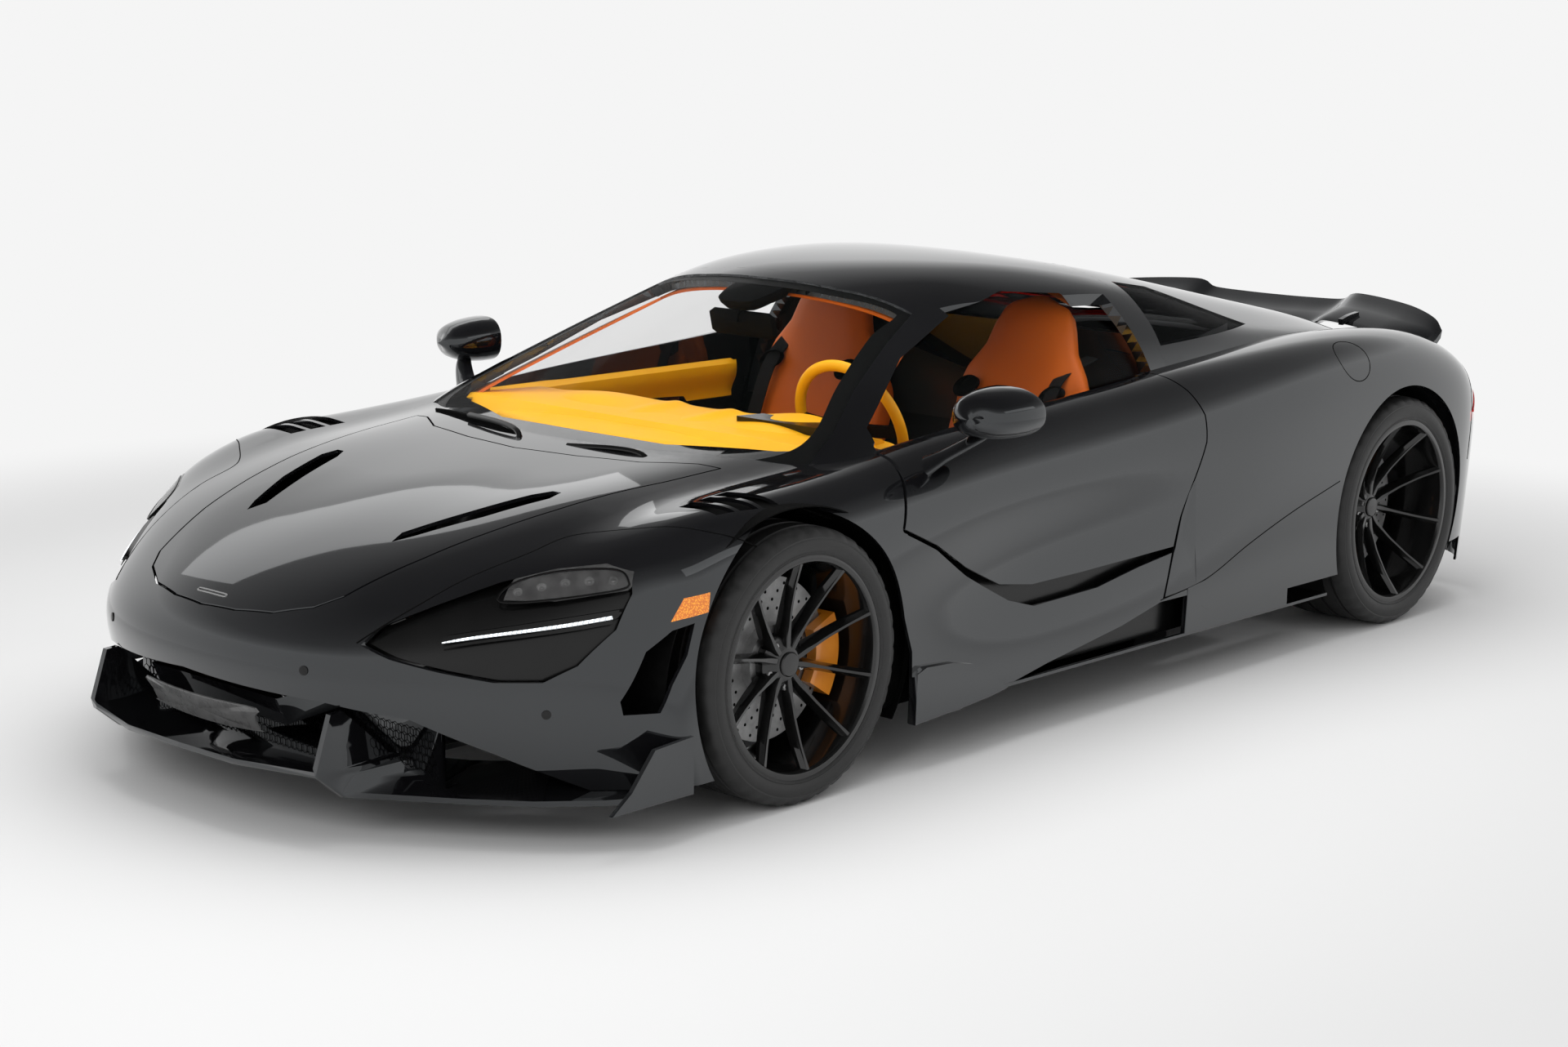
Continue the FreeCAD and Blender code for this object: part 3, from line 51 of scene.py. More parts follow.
class Wire:
    """A socket of a finish, which sums and other nodes are built on."""

    def __init__(self, tree, socket=None):
        self.tree = tree
        self.socket = socket

    def node(self, kind, settings=None, sockets=None, out=0):
        made = self.tree.nodes.new(kind)
        for name, value in (settings or {}).items():
            if name == "stops":
                ramp = made.color_ramp
                while len(ramp.elements) < len(value):
                    ramp.elements.new(0.5)
                for stop, (place, shade) in zip(ramp.elements, value):
                    stop.position = place
                    stop.color = (*shade, 1)
            else:
                setattr(made, name, value)
        for name, value in (sockets or {}).items():
            if isinstance(value, Wire):
                self.tree.links.new(value.socket, made.inputs[name])
            else:
                made.inputs[name].default_value = value
        return Wire(self.tree, made.outputs[out] if made.outputs else None)

    def sum(self, operation, first, second=0.0):
        return self.node("ShaderNodeMath", {"operation": operation}, {0: first, 1: second})

    def __add__(self, other):
        return self.sum("ADD", self, other)

    def __sub__(self, other):
        return self.sum("SUBTRACT", self, other)

    def __rsub__(self, other):
        return self.sum("SUBTRACT", other, self)

    def __mul__(self, other):
        return self.sum("MULTIPLY", self, other)

    def __truediv__(self, other):
        return self.sum("DIVIDE", self, other)

    def __pow__(self, other):
        return self.sum("POWER", self, other)

    __radd__ = __add__
    __rmul__ = __mul__

    def part(self, letter):
        return self.node("ShaderNodeSeparateXYZ", None, {0: self}, "XYZ".index(letter))

    def noise(self, scale, detail=2.0, roughness=0.5, stretch=None):
        place = self
        if stretch:
            place = self.node("ShaderNodeMapping", None, {"Vector": self, "Scale": stretch})
        return place.node("ShaderNodeTexNoise", None, {"Vector": place, "Scale": scale, "Detail": detail,
                                                       "Roughness": roughness})

    def ramp(self, *stops):
        return self.node("ShaderNodeValToRGB", {"stops": stops}, {0: self})

    def blend(self, first, second):
        return self.node("ShaderNodeMix", {"data_type": "RGBA"}, {0: self, 6: first, 7: second}, 2)

    def bump(self, strength, distance):
        return self.node("ShaderNodeBump", None, {"Height": self, "Strength": strength, "Distance": distance})


def new_finish(name, **fixed):
    """A finish with its plain values set, and the place on the piece that its pattern reads."""
    material = bpy.data.materials.new(name)
    material.use_nodes = True
    tree = material.node_tree
    shader = tree.nodes["Principled BSDF"]
    for key, value in fixed.items():
        shader.inputs[key.replace("_", " ")].default_value = value
    place = Wire(tree).node("ShaderNodeTexCoord", None, None, "Object")
    return material, place


def feed(material, **links):
    """Joins what varies over a surface to the finish's own sockets."""
    shader = material.node_tree.nodes["Principled BSDF"]
    for key, wire in links.items():
        material.node_tree.links.new(wire.socket, shader.inputs[key.replace("_", " ")])


def grey(value):
    return (value, value, value)


def greys(dark, light):
    """Two grey stops of a colour ramp."""
    return (0.3, grey(dark)), (0.7, grey(light))


def mottled(name, noise, tones, rough, **fixed):
    """A finish whose tone and roughness drift with one noise: rough is its span, then its least."""
    material, place = new_finish(name, **fixed)
    drift = place.noise(*noise)
    feed(material, Base_Color=drift.ramp(*tones), Roughness=drift * rough[0] + rough[1])
    return material, drift


gloss_black, _ = mottled("gloss_black", (2.2, 3.0),
                         ((0.3, (0.0035, 0.0035, 0.004)), (0.7, (0.006, 0.006, 0.0068))), (0.03, 0.025),
                         Coat_Weight=0.6, Coat_Roughness=0.015, IOR=1.55, Specular_Tint=(0.90, 0.96, 1.0, 1))

# Rows of the outer form from the nose back, in millimetres: one x or the places along x, then y
# from the first pole off the centreline, then z down to the last pole above the row's foot.
SIDE_FOOT, GLASS_FOOT = 120, 620
body_rows = [
    ([2130, 2120, 2070, 1960, 1830, 1730, 1665, 1615, 1580, 1550],
     [220, 430, 590, 720, 800, 860, 900, 922, 930], [SIDE_FOOT] * 9),
    ([2190, 2173, 2110, 1988, 1845, 1738, 1664, 1610, 1573, 1542],
     [220, 440, 610, 745, 830, 885, 925, 942, 937], [230, 230, 230, 228, 225, 222, 215, 205, 180]),
    ([2252, 2232, 2155, 2010, 1855, 1740, 1660, 1606, 1566, 1532],
     [225, 450, 620, 760, 850, 905, 935, 948, 940], [365, 365, 362, 358, 350, 335, 310, 270, 210]),
    ([2240, 2216, 2130, 1982, 1838, 1722, 1640, 1592, 1555, 1522],
     [225, 450, 620, 765, 855, 910, 938, 948, 940], [445, 445, 445, 443, 435, 415, 375, 310, 225]),
    ([2130, 2110, 2040, 1925, 1790, 1680, 1605, 1565, 1535, 1510],
     [225, 450, 620, 770, 860, 915, 940, 948, 940], [520, 520, 522, 518, 512, 490, 440, 350, 235]),
    ([1960, 1955, 1915, 1845, 1730, 1622, 1545, 1520, 1505, 1500],
     [225, 460, 625, 780, 870, 925, 945, 948, 940], [588, 585, 588, 580, 580, 560, 500, 380, 240]),
    ([1780, 1772, 1745, 1700, 1640, 1555, 1505, 1485, 1475, 1470],
     [225, 475, 635, 790, 885, 935, 948, 948, 940], [642, 639, 645, 628, 640, 620, 545, 400, 242]),
    ([1560, 1555, 1540, 1505, 1470, 1435, 1420, 1415, 1412, 1410],
     [225, 490, 645, 800, 900, 942, 950, 948, 940], [688, 685, 692, 668, 690, 660, 565, 410, 243]),
    (1350, [225, 505, 655, 808, 908, 948, 952, 948, 940], [718, 715, 718, 688, 717, 672, 570, 415, 244]),
    (1150, [225, 520, 665, 812, 910, 950, 952, 946, 938], [740, 738, 735, 700, 728, 676, 570, 415, 244]),
    (930, [225, 540, 680, 815, 905, 945, 945, 945, 938], [757, 755, 752, 722, 738, 680, 572, 415, 244]),
    (700, [230, 560, 700, 815, 900, 935, 915, 945, 940], [775, 775, 772, 760, 752, 690, 580, 430, 250]),
    (430, [230, 560, 700, 810, 890, 925, 880, 950, 945], [790, 790, 790, 790, 775, 705, 600, 450, 270]),
    (130, [230, 560, 700, 800, 885, 925, 880, 955, 950], [800, 800, 800, 805, 800, 725, 625, 470, 285]),
    (-170, [230, 560, 700, 795, 885, 930, 900, 958, 950], [815, 815, 815, 820, 820, 750, 650, 480, 290]),
    (-450, [230, 550, 700, 795, 895, 940, 930, 960, 950], [830, 830, 830, 840, 845, 780, 670, 490, 290]),
    (-730, [230, 540, 700, 810, 910, 955, 950, 962, 950], [840, 840, 840, 858, 868, 810, 690, 500, 290]),
    (-1020, [230, 530, 690, 820, 925, 963, 960, 962, 950], [850, 850, 850, 875, 890, 835, 705, 505, 290]),
    (-1320, [230, 530, 690, 825, 930, 965, 965, 963, 950], [848, 848, 850, 885, 902, 850, 712, 510, 290]),
    (-1620, [230, 530, 690, 820, 928, 965, 965, 960, 945], [835, 835, 840, 868, 890, 840, 710, 510, 290]),
    (-1880, [230, 520, 680, 800, 905, 950, 950, 940, 920], [820, 820, 822, 828, 832, 785, 690, 505, 290]),
    ([-2080, -2078, -2070, -2050, -2030, -2010, -2000, -2000, -2000, -2000],
     [230, 510, 660, 765, 860, 905, 905, 890, 880], [795, 795, 795, 785, 760, 725, 650, 490, 290]),
    ([-2180, -2178, -2168, -2145, -2120, -2095, -2080, -2070, -2060, -2050],
     [230, 500, 640, 735, 820, 860, 860, 850, 840], [760, 760, 760, 750, 725, 690, 615, 475, 290]),
    ([-2190, -2190, -2180, -2160, -2140, -2120, -2105, -2095, -2080, -2070],
     [230, 490, 625, 715, 790, 825, 830, 820, 810], [560, 560, 560, 560, 555, 530, 480, 400, 270]),
    ([-2140, -2140, -2130, -2115, -2100, -2095, -2090, -2085, -2080, -2070],
     [230, 480, 600, 690, 750, 780, 790, 795, 800], [SIDE_FOOT] * 9),
]
canopy_rows = [
    ([1230, 1225, 1190, 1130, 1050, 960, 900], [200, 400, 560, 690, 790, 820], [GLASS_FOOT] * 6),
    ([1175, 1165, 1125, 1060, 980, 900, 850], [200, 400, 560, 690, 790, 820], [700, 700, 700, 700, 700, 690]),
    ([1090, 1080, 1035, 960, 870, 800, 760], [200, 400, 555, 690, 785, 815], [752, 752, 752, 756, 765, 750]),
    ([820, 812, 775, 700, 640, 600, 580], [200, 390, 530, 660, 775, 810], [890, 888, 878, 870, 860, 780]),
    ([560, 552, 520, 450, 400, 390, 380], [195, 375, 500, 625, 765, 805], [1010, 1006, 990, 970, 935, 800]),
    ([300, 295, 270, 220, 180, 170, 170], [190, 365, 480, 590, 755, 800], [1105, 1100, 1080, 1042, 995, 810]),
    (60, [190, 365, 490, 575, 750, 795], [1145, 1141, 1121, 1080, 1025, 820]),
    (-200, [190, 370, 500, 580, 750, 795], [1157, 1152, 1132, 1087, 1032, 830]),
    (-430, [190, 375, 505, 590, 750, 795], [1134, 1131, 1119, 1075, 1025, 840]),
    (-620, [190, 375, 505, 600, 755, 800], [1085, 1092, 1095, 1058, 1005, 850]),
    (-820, [190, 370, 500, 610, 760, 800], [1035, 1048, 1058, 1028, 970, 860]),
    (-1100, [190, 370, 500, 610, 760, 800], [965, 985, 1005, 975, 915, 860]),
    (-1400, [190, 370, 500, 610, 760, 800], [905, 920, 940, 925, 890, 850]),
    (-1700, [190, 370, 500, 610, 740, 780], [860, 870, 880, 870, 850, 820]),
    (-1880, [190, 370, 500, 600, 700, 740], [780, 785, 790, 780, 760, 740]),
    (-1950, [190, 370, 500, 590, 680, 720], [GLASS_FOOT] * 6),
]


def hat_values(count, places):
    """Cubic weights of a row's poles at each place, and the weights of its slope."""
    knots = np.array([0.0] * 3 + list(range(count - 2)) + [count - 3.0] * 3)
    last = np.nextafter(knots[-1], 0)
    t = np.clip(places, 0, last)[:, None]
    weights = ((knots[:-1] <= t) & (t < knots[1:])).astype(float)
    for degree in (1, 2, 3):
        if degree == 3:
            lower = weights
        size = len(knots) - degree - 1
        left = knots[degree:degree + size] - knots[:size]
        right = knots[degree + 1:degree + 1 + size] - knots[1:1 + size]
        rise = np.where(left > 0, (t - knots[:size]) / np.where(left > 0, left, 1), 0)
        end = knots[degree + 1:degree + 1 + size]
        fall = np.where(right > 0, (end - t) / np.where(right > 0, right, 1), 0)
        weights = rise * weights[:, :size] + fall * weights[:, 1:size + 1]
    left = knots[3:3 + count] - knots[:count]
    right = knots[4:4 + count] - knots[1:1 + count]
    slope = (np.where(left > 0, 3 / np.where(left > 0, left, 1), 0) * lower[:, :count]
             - np.where(right > 0, 3 / np.where(right > 0, right, 1), 0) * lower[:, 1:count + 1])
    return weights, slope


MILLIMETRES = 1000
GRID_ALONG, GRID_ACROSS = 420, 300
SOLVER_STEPS, SOLVER_REACH = 4, 0.3


class Form:
    """One smooth outer form, held by its net of poles."""

    def __init__(self, rows, foot):
        half = [np.stack(np.broadcast_arrays(x, [0] + y, z + [foot]), 1) for x, y, z in rows]
        half = np.array(half, float) / MILLIMETRES
        other = half[:, :0:-1] * np.array([1, -1, 1])
        self.poles = np.concatenate([other, half], 1)
        self.size = self.poles.shape[:2]
        u, v = np.meshgrid(np.linspace(0, self.size[0] - 3, GRID_ALONG),
                           np.linspace(0, self.size[1] - 3, GRID_ACROSS), indexing="ij")
        self.grid = np.stack([u.ravel(), v.ravel()], 1)
        points = self.at(*self.grid.T)[0]
        self.tree = kdtree.KDTree(len(points))
        for number, point in enumerate(points):
            self.tree.insert(point, number)
        self.tree.balance()

    def at(self, u, v):
        """The points at these places, and the slopes along and across the car."""
        along, along_slope = hat_values(self.size[0], u)
        across, across_slope = hat_values(self.size[1], v)
        found = []
        for first, second in ((along, across), (along_slope, across), (along, across_slope)):
            lines = np.einsum("ni,ijk->njk", first, self.poles)
            found.append(np.einsum("njk,nj->nk", lines, second))
        return found

    def nearest(self, points):
        """The nearest points of the form, with the outward direction there."""
        start = self.grid[[self.tree.find(point)[1] for point in points]]
        u, v = start.T.copy()
        for _ in range(SOLVER_STEPS):
            here, du, dv = self.at(u, v)
            miss = points - here
            a, b, c = (du * du).sum(1), (du * dv).sum(1), (dv * dv).sum(1)
            e, f = (miss * du).sum(1), (miss * dv).sum(1)
            flat = np.maximum(a * c - b * b, 1e-12)
            u_step, v_step = (c * e - b * f) / flat, (a * f - b * e) / flat
            u = np.clip(u + np.clip(u_step, -SOLVER_REACH, SOLVER_REACH), 0, self.size[0] - 3)
            v = np.clip(v + np.clip(v_step, -SOLVER_REACH, SOLVER_REACH), 0, self.size[1] - 3)
        here, du, dv = self.at(u, v)
        out = np.cross(dv, du)
        out /= np.maximum(np.linalg.norm(out, axis=1), 1e-9)[:, None]
        return here, out


body_form = Form(body_rows, SIDE_FOOT)
canopy_form = Form(canopy_rows, GLASS_FOOT)


def draped(points, forms=(body_form,)):
    """These points moved onto the nearest form, with the outward direction there."""
    points = np.array(points, float)
    best, spot, out = np.full(len(points), 1e9), points.copy(), np.zeros_like(points)
    for form in forms:
        here, direction = form.nearest(points)
        away = np.linalg.norm(points - here, axis=1)
        closer = away < best
        best[closer], spot[closer], out[closer] = away[closer], here[closer], direction[closer]
    return spot, out


def read_all(items, name, width=3, kind=float):
    """What every item of a mesh says under this name, as the rows of an array."""
    values = np.zeros(len(items) * width, kind)
    items.foreach_get(name, values)
    return values.reshape(-1, width)


SAME_SPOT = 0.00002


def merged_copy(node):
    """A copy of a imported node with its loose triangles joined."""
    mesh = nodes[node].data.copy()
    mesh.materials.clear()
    piece = bpy.data.objects.new(node + "_skin", mesh)
    bpy.context.scene.collection.objects.link(piece)
    shape = bmesh.new()
    shape.from_mesh(mesh)
    bmesh.ops.remove_doubles(shape, verts=shape.verts, dist=SAME_SPOT)
    bmesh.ops.dissolve_degenerate(shape, edges=shape.edges, dist=SAME_SPOT)
    shape.to_mesh(mesh)
    shape.free()
    return piece


def set_piece(piece, finish, body, slot, *stood_for):
    """Gives a finished piece its material and its body, and hides the parts it stands for; its slot is not
    used.
    """
    if finish:
        piece.data.materials.clear()
        piece.data.materials.append(finish)
    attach(piece, body)
    if stood_for:
        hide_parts(*stood_for)
    return piece


LIKE_THE_FORM, PANEL_DEPTH, CUT_EDGE_ANGLE = 0.93, 0.075, 0.5


def follow_form(piece, forms=(body_form, canopy_form)):
    """Shades a panel with the outer form's own curve, and leaves its cut edges crisp."""
    mesh = piece.data
    points = read_all(mesh.vertices, "co")
    here, out = draped(points, forms)
    away = np.linalg.norm(points - here, axis=1)
    mesh.shade_smooth()
    mesh.set_sharp_from_angle(angle=CUT_EDGE_ANGLE)
    corner_point = read_all(mesh.loops, "vertex_index", 1, int).ravel()
    own = read_all(mesh.corner_normals, "vector")
    corners_each = read_all(mesh.polygons, "loop_total", 1, int).ravel()
    face = np.repeat(read_all(mesh.polygons, "normal"), corners_each, 0)
    curve = out[corner_point]
    agree = (curve * face).sum(1)
    on_form = (np.abs(agree) > LIKE_THE_FORM) & (away[corner_point] < PANEL_DEPTH)
    shade = np.where(on_form[:, None], curve * np.sign(agree)[:, None], own)
    mesh.normals_split_custom_set([tuple(row) for row in shade])
    return piece


moving_panels = {"bonnet": "front_lid", "door_left": "door_left", "door_right": "door_right"}
for node in ("bonnet", "front_bumper", "front_wings", "side_skirts", "haunches", "rear_bumper", "rear_deck",
             "roof_panel", "door_left", "door_right", "splitter", "diffuser"):
    slot = "carbon" if node in ("splitter", "diffuser") else "gloss_black_paint"
    set_piece(follow_form(merged_copy(node)), gloss_black, moving_panels.get(node, "chassis"), slot, node)


# Glass. Laminated windscreen and curved side and rear panes, lightly tinted,
# with a black printed band along the edges that hides the glue.

glass, place = new_finish("tinted_glass", Roughness=0.0, IOR=1.45, Specular_IOR_Level=0.5)
haze = place.noise(3.0)
feed(glass,
     Base_Color=haze.ramp((0.2, (0.006, 0.008, 0.008)), (0.8, (0.012, 0.015, 0.015))),
     Alpha=haze * 0.02 + 0.05)
for node, body in {"windscreen": "chassis", "rear_glass": "chassis", "door_glass_left": "door_left",
                   "door_glass_right": "door_right"}.items():
    set_piece(follow_form(merged_copy(node)), glass, body, "glass", node)


# Plain finishes of what shows of the chassis: woven carbon tub, alloy arms,
# cast knuckles, painted calipers, drilled discs, wheels and tyres.

carbon, place = new_finish("woven_carbon", Coat_Weight=0.6, Coat_Roughness=0.12)
along = place.part("X") * 420
across = place.part("Y") * 420 + place.part("Z") * 420
weave = (along + across).sum("SINE", along + across) * (along - across).sum("SINE", along - across)
feed(carbon,
     Base_Color=(weave * 0.5 + 0.5).ramp((0.2, grey(0.006)), (0.8, grey(0.022))),
     Roughness=(weave * 0.5 + 0.5) * 0.15 + 0.3)

tyre_rubber, dust = mottled("tyre_rubber", (60.0, 4.0), ((0.3, grey(0.006)), (0.75, grey(0.012))),
                            (0.2, 0.42))
feed(tyre_rubber, Normal=dust.bump(0.15, 0.0005))
wheel_black, _ = mottled("wheel_black", (14.0, 3.0), greys(0.003, 0.006), (0.08, 0.12),
                         Coat_Weight=0.3, Coat_Roughness=0.05)
disc_grey, _ = mottled("disc_grey", (40.0, 4.0, 0.6), ((0.25, grey(0.32)), (0.75, grey(0.52))), (0.2, 0.36),
                       Metallic=0.85)
caliper_orange, _ = mottled("caliper_orange", (25.0,),
                            ((0.3, (0.78, 0.24, 0.012)), (0.7, (0.86, 0.29, 0.018))), (0.1, 0.25),
                            Coat_Weight=0.6, Coat_Roughness=0.05)
cast_alloy, _ = mottled("cast_alloy", (90.0, 4.0), greys(0.18, 0.32), (0.25, 0.35), Metallic=0.9)

ORANGE = (0.72, 0.15, 0.010)
YELLOW = (1.0, 0.50, 0.003)


def leather(name, dark, light):
    material, place = new_finish(name, Specular_IOR_Level=0.35)
    grain = place.node("ShaderNodeTexVoronoi", {"feature": "F1"}, {"Vector": place, "Scale": 900.0})
    tone = place.noise(6.0, 3.0)
    feed(material,
         Base_Color=tone.blend((*dark, 1), (*light, 1)),
         Roughness=tone * 0.12 + 0.42,
         Normal=grain.bump(0.12, 0.0004))
    return material


orange_leather = leather("orange_leather", (0.60, 0.115, 0.008), ORANGE)
yellow_leather = leather("yellow_leather", (0.93, 0.43, 0.002), YELLOW)

left_showing = {"dashboard": yellow_leather, "steering_wheel": yellow_leather, "seats": orange_leather,
                "lamps": gloss_black, "rear_calipers": caliper_orange}
for node in ("tub", "splitter", "diffuser"):
    left_showing[node] = carbon
for node in ("engine", "front_suspension", "rear_suspension", "rear_knuckles"):
    left_showing[node] = cast_alloy
for side, sign in SIDES:
    left_showing[f"knuckle_front_{side}"] = cast_alloy
    left_showing[f"caliper_front_{side}"] = caliper_orange
    for end in ("front", "rear"):
        left_showing[f"tyre_{end}_{side}"] = tyre_rubber
        left_showing[f"rim_{end}_{side}"] = wheel_black
        left_showing[f"disc_{end}_{side}"] = disc_grey
for node, finish in left_showing.items():
    nodes[node].data.materials.clear()
    nodes[node].data.materials.append(finish)
    for face in nodes[node].data.polygons:
        face.material_index = 0


# Head, side and tail lamps. A dark moulded socket in the nose holds a smoked
# lens pod with five light units and a long bright light guide below it.

POINT_GAP, EDGE_ANGLE = 0.00001, 0.6


def new_piece(name, points, faces, smooth=True):
    mesh = bpy.data.meshes.new(name)
    mesh.from_pydata([tuple(map(float, point)) for point in points], [],
                     [tuple(map(int, face)) for face in faces])
    shape = bmesh.new()
    shape.from_mesh(mesh)
    bmesh.ops.remove_doubles(shape, verts=shape.verts, dist=POINT_GAP)
    bmesh.ops.recalc_face_normals(shape, faces=shape.faces)
    shape.to_mesh(mesh)
    shape.free()
    if smooth:
        mesh.shade_smooth()
        mesh.set_sharp_from_angle(angle=EDGE_ANGLE)
    piece = bpy.data.objects.new(name, mesh)
    bpy.context.scene.collection.objects.link(piece)
    return piece


def joined_rows(rows, width, start=0, around=True, closed=False):
    """Four-sided faces between rows of points, with this many points to a row."""
    faces = []
    for row in range(rows if closed else rows - 1):
        near, far = start + row * width, start + (row + 1) % rows * width
        for spot in range(width if around else width - 1):
            beside = (spot + 1) % width
            faces.append((near + spot, near + beside, far + beside, far + spot))
    return faces


def sheet_faces(columns, rows):
    """Faces of two like grids of points, one over the other, and of the edge between them."""
    size = rows * columns
    border = list(range(columns)) + [row * columns + columns - 1 for row in range(1, rows)]
    border += list(range(size - 2, size - columns - 1, -1))
    border += [row * columns for row in range(rows - 2, 0, -1)]
    return (joined_rows(rows, columns, 0, False) + joined_rows(rows, columns, size, False)
            + [(a, b, b + size, a + size) for a, b in zip(border, border[1:] + border[:1])])


def two_ends(rows, width, start=0):
    """The faces that close the first and the last row of a run of points."""
    last = start + (rows - 1) * width
    return [tuple(range(start, start + width)), tuple(range(last + width - 1, last - 1, -1))]


def rounded_path(corners, count, closed=False):
    """A smooth line through these corners with evenly spaced points."""
    corners = np.array(corners, float)
    if closed:
        ring = np.concatenate([corners[-2:], corners, corners[:2]])
    else:
        ring = np.concatenate([[2 * corners[0] - corners[1]], corners, [2 * corners[-1] - corners[-2]]])
    fine = []
    spans = len(corners) if closed else len(corners) - 1
    first = 2 if closed else 1
    for span in range(spans):
        a, b, c, d = ring[first + span - 1:first + span + 3]
        t = np.linspace(0, 1, 24, endpoint=False)[:, None]
        fine.append(0.5 * (2 * b + (c - a) * t + (2 * a - 5 * b + 4 * c - d) * t ** 2
                           + (3 * b - a - 3 * c + d) * t ** 3))
    fine = np.concatenate(fine + [corners[:1] if closed else corners[-1:]])
    run = np.concatenate([[0], np.cumsum(np.linalg.norm(np.diff(fine, axis=0), axis=1))])
    spots = np.linspace(0, run[-1], count + 1)[:-1] if closed else np.linspace(0, run[-1], count)
    return np.stack([np.interp(spots, run, fine[:, axis]) for axis in range(3)], 1)


def patch(name, corners, steps, forms=(body_form,), count=64, smooth_line=True):
    """A pad that lies on the form inside a closed line: steps are (share of the way out, height)."""
    line = rounded_path(corners, count, True) if smooth_line else np.array(corners, float)
    count = len(line)
    middle = line.mean(0)
    points = []
    for share, height in steps:
        spot, out = draped(middle + (line - middle) * share, forms)
        points.append(spot + out * height)
    return new_piece(name, np.concatenate(points), joined_rows(len(steps), count))


def rail(name, path, outs, section, closed=False, sizes=None):
    """A bar swept along a path: section points are (sideways, outwards)."""
    path, outs = np.array(path, float), np.array(outs, float)
    ahead = np.roll(path, -1, 0) - np.roll(path, 1, 0)
    if not closed:
        ahead[0], ahead[-1] = path[1] - path[0], path[-1] - path[-2]
    ahead /= np.linalg.norm(ahead, axis=1)[:, None]
    side = np.cross(outs, ahead)
    side /= np.linalg.norm(side, axis=1)[:, None]
    lift = np.cross(ahead, side)
    sizes = np.ones(len(path)) if sizes is None else np.array(sizes, float)
    width = len(section)
    points = np.concatenate([[path[n] + (side[n] * a + lift[n] * b) * sizes[n] for a, b in section]
                             for n in range(len(path))])
    faces = joined_rows(len(path), width, 0, True, closed)
    return new_piece(name, points, faces if closed else faces + two_ends(len(path), width))


def flat_bar(width, height, sink=0.0):
    bevel = min(width, height) * 0.3
    return [(-width / 2, -sink), (width / 2, -sink), (width / 2, height - bevel), (width / 2 - bevel, height),
            (-width / 2 + bevel, height), (-width / 2, height - bevel)]


def oval_section(wide, tall):
    return [(wide * math.cos(turn), tall * math.sin(turn)) for turn in np.linspace(0, math.tau, 16, False)]


def both_sides(points, side):
    """The same places on the left, side 1, or on the right, side -1."""
    return np.array(points, float) * np.array([1, side, 1])


def inside_outline(y, z, outline):
    inside = np.zeros(len(y), bool)
    for (a, b), (c, d) in zip(outline, outline[1:] + outline[:1]):
        crosses = (b > z) != (d > z)
        inside ^= crosses & (y < (c - a) * (z - b) / (d - b + 1e-12) + a)
    return inside


def face_middles(piece):
    return read_all(piece.data.polygons, "center")


def add_zone(piece, finish, chosen):
    """Gives the chosen faces of a piece another finish."""
    piece.data.materials.append(finish)
    number = len(piece.data.materials) - 1
    for face in np.nonzero(chosen)[0]:
        piece.data.polygons[int(face)].material_index = number


socket_black, _ = mottled("socket_black", (8.0, 3.0), greys(0.002, 0.0035), (0.1, 0.16),
                          Specular_IOR_Level=0.35)
smoked_lens, lens_cloud = mottled("smoked_lens", (30.0, 2.0), greys(0.05, 0.085), (0.1, 0.12),
                                  Coat_Weight=0.8, Coat_Roughness=0.02)
feed(smoked_lens, Alpha=lens_cloud * 0.1 + 0.55)
light_guide, place = new_finish("light_guide", Roughness=0.15, Emission_Strength=0.75)
ribs = (place.part("Y") * 900).sum("SINE", place.part("Y") * 900) * 0.5 + 0.5
feed(light_guide,
     Base_Color=ribs.ramp((0.0, (0.42, 0.45, 0.48)), (0.6, (0.9, 0.93, 0.95))),
     Emission_Color=ribs.ramp((0.0, (0.25, 0.28, 0.31)), (0.6, (0.95, 0.97, 1.0))))


def coloured_lens(name, dark, light, glow):
    material, place = new_finish(name, Coat_Weight=0.8, Coat_Roughness=0.02, Roughness=0.1,
                                 Emission_Strength=glow)
    cells = place.node("ShaderNodeTexVoronoi", {"feature": "F1"}, {"Vector": place, "Scale": 260.0})
    feed(material,
         Base_Color=cells.ramp((0.0, light), (0.6, dark)),
         Emission_Color=cells.ramp((0.0, light), (0.6, dark)))
    return material


amber_lens = coloured_lens("amber_lens", (0.55, 0.13, 0.003), (1.0, 0.42, 0.02), 0.25)
red_lens = coloured_lens("red_lens", (0.22, 0.003, 0.003), (0.85, 0.02, 0.012), 0.35)

lamps_skin = set_piece(merged_copy("lamps"), socket_black, "chassis", "lamp_lens", "lamps")
follow_form(lamps_skin, (body_form,))
middles = face_middles(lamps_skin)
aside = np.abs(middles[:, 1])
depth = np.linalg.norm(middles - draped(middles)[0], axis=1)
SKIN_DEPTH, LAMP_BACK_X, MARKER_BACK_X, MARKER_ASIDE, TAIL_LAMP_X = 0.004, 1.6, 1.3, 0.85, -1.6
pod_view = [(0.636, 0.590), (0.653, 0.543), (0.747, 0.541), (0.842, 0.562), (0.857, 0.610), (0.777, 0.630)]
in_pod = (middles[:, 0] > LAMP_BACK_X) & inside_outline(aside, middles[:, 2], pod_view)
add_zone(lamps_skin, smoked_lens, in_pod & (depth < SKIN_DEPTH))
on_side = (middles[:, 0] > MARKER_BACK_X) & (middles[:, 0] < LAMP_BACK_X) & (aside > MARKER_ASIDE)
add_zone(lamps_skin, amber_lens, on_side)
add_zone(lamps_skin, red_lens, middles[:, 0] < TAIL_LAMP_X)

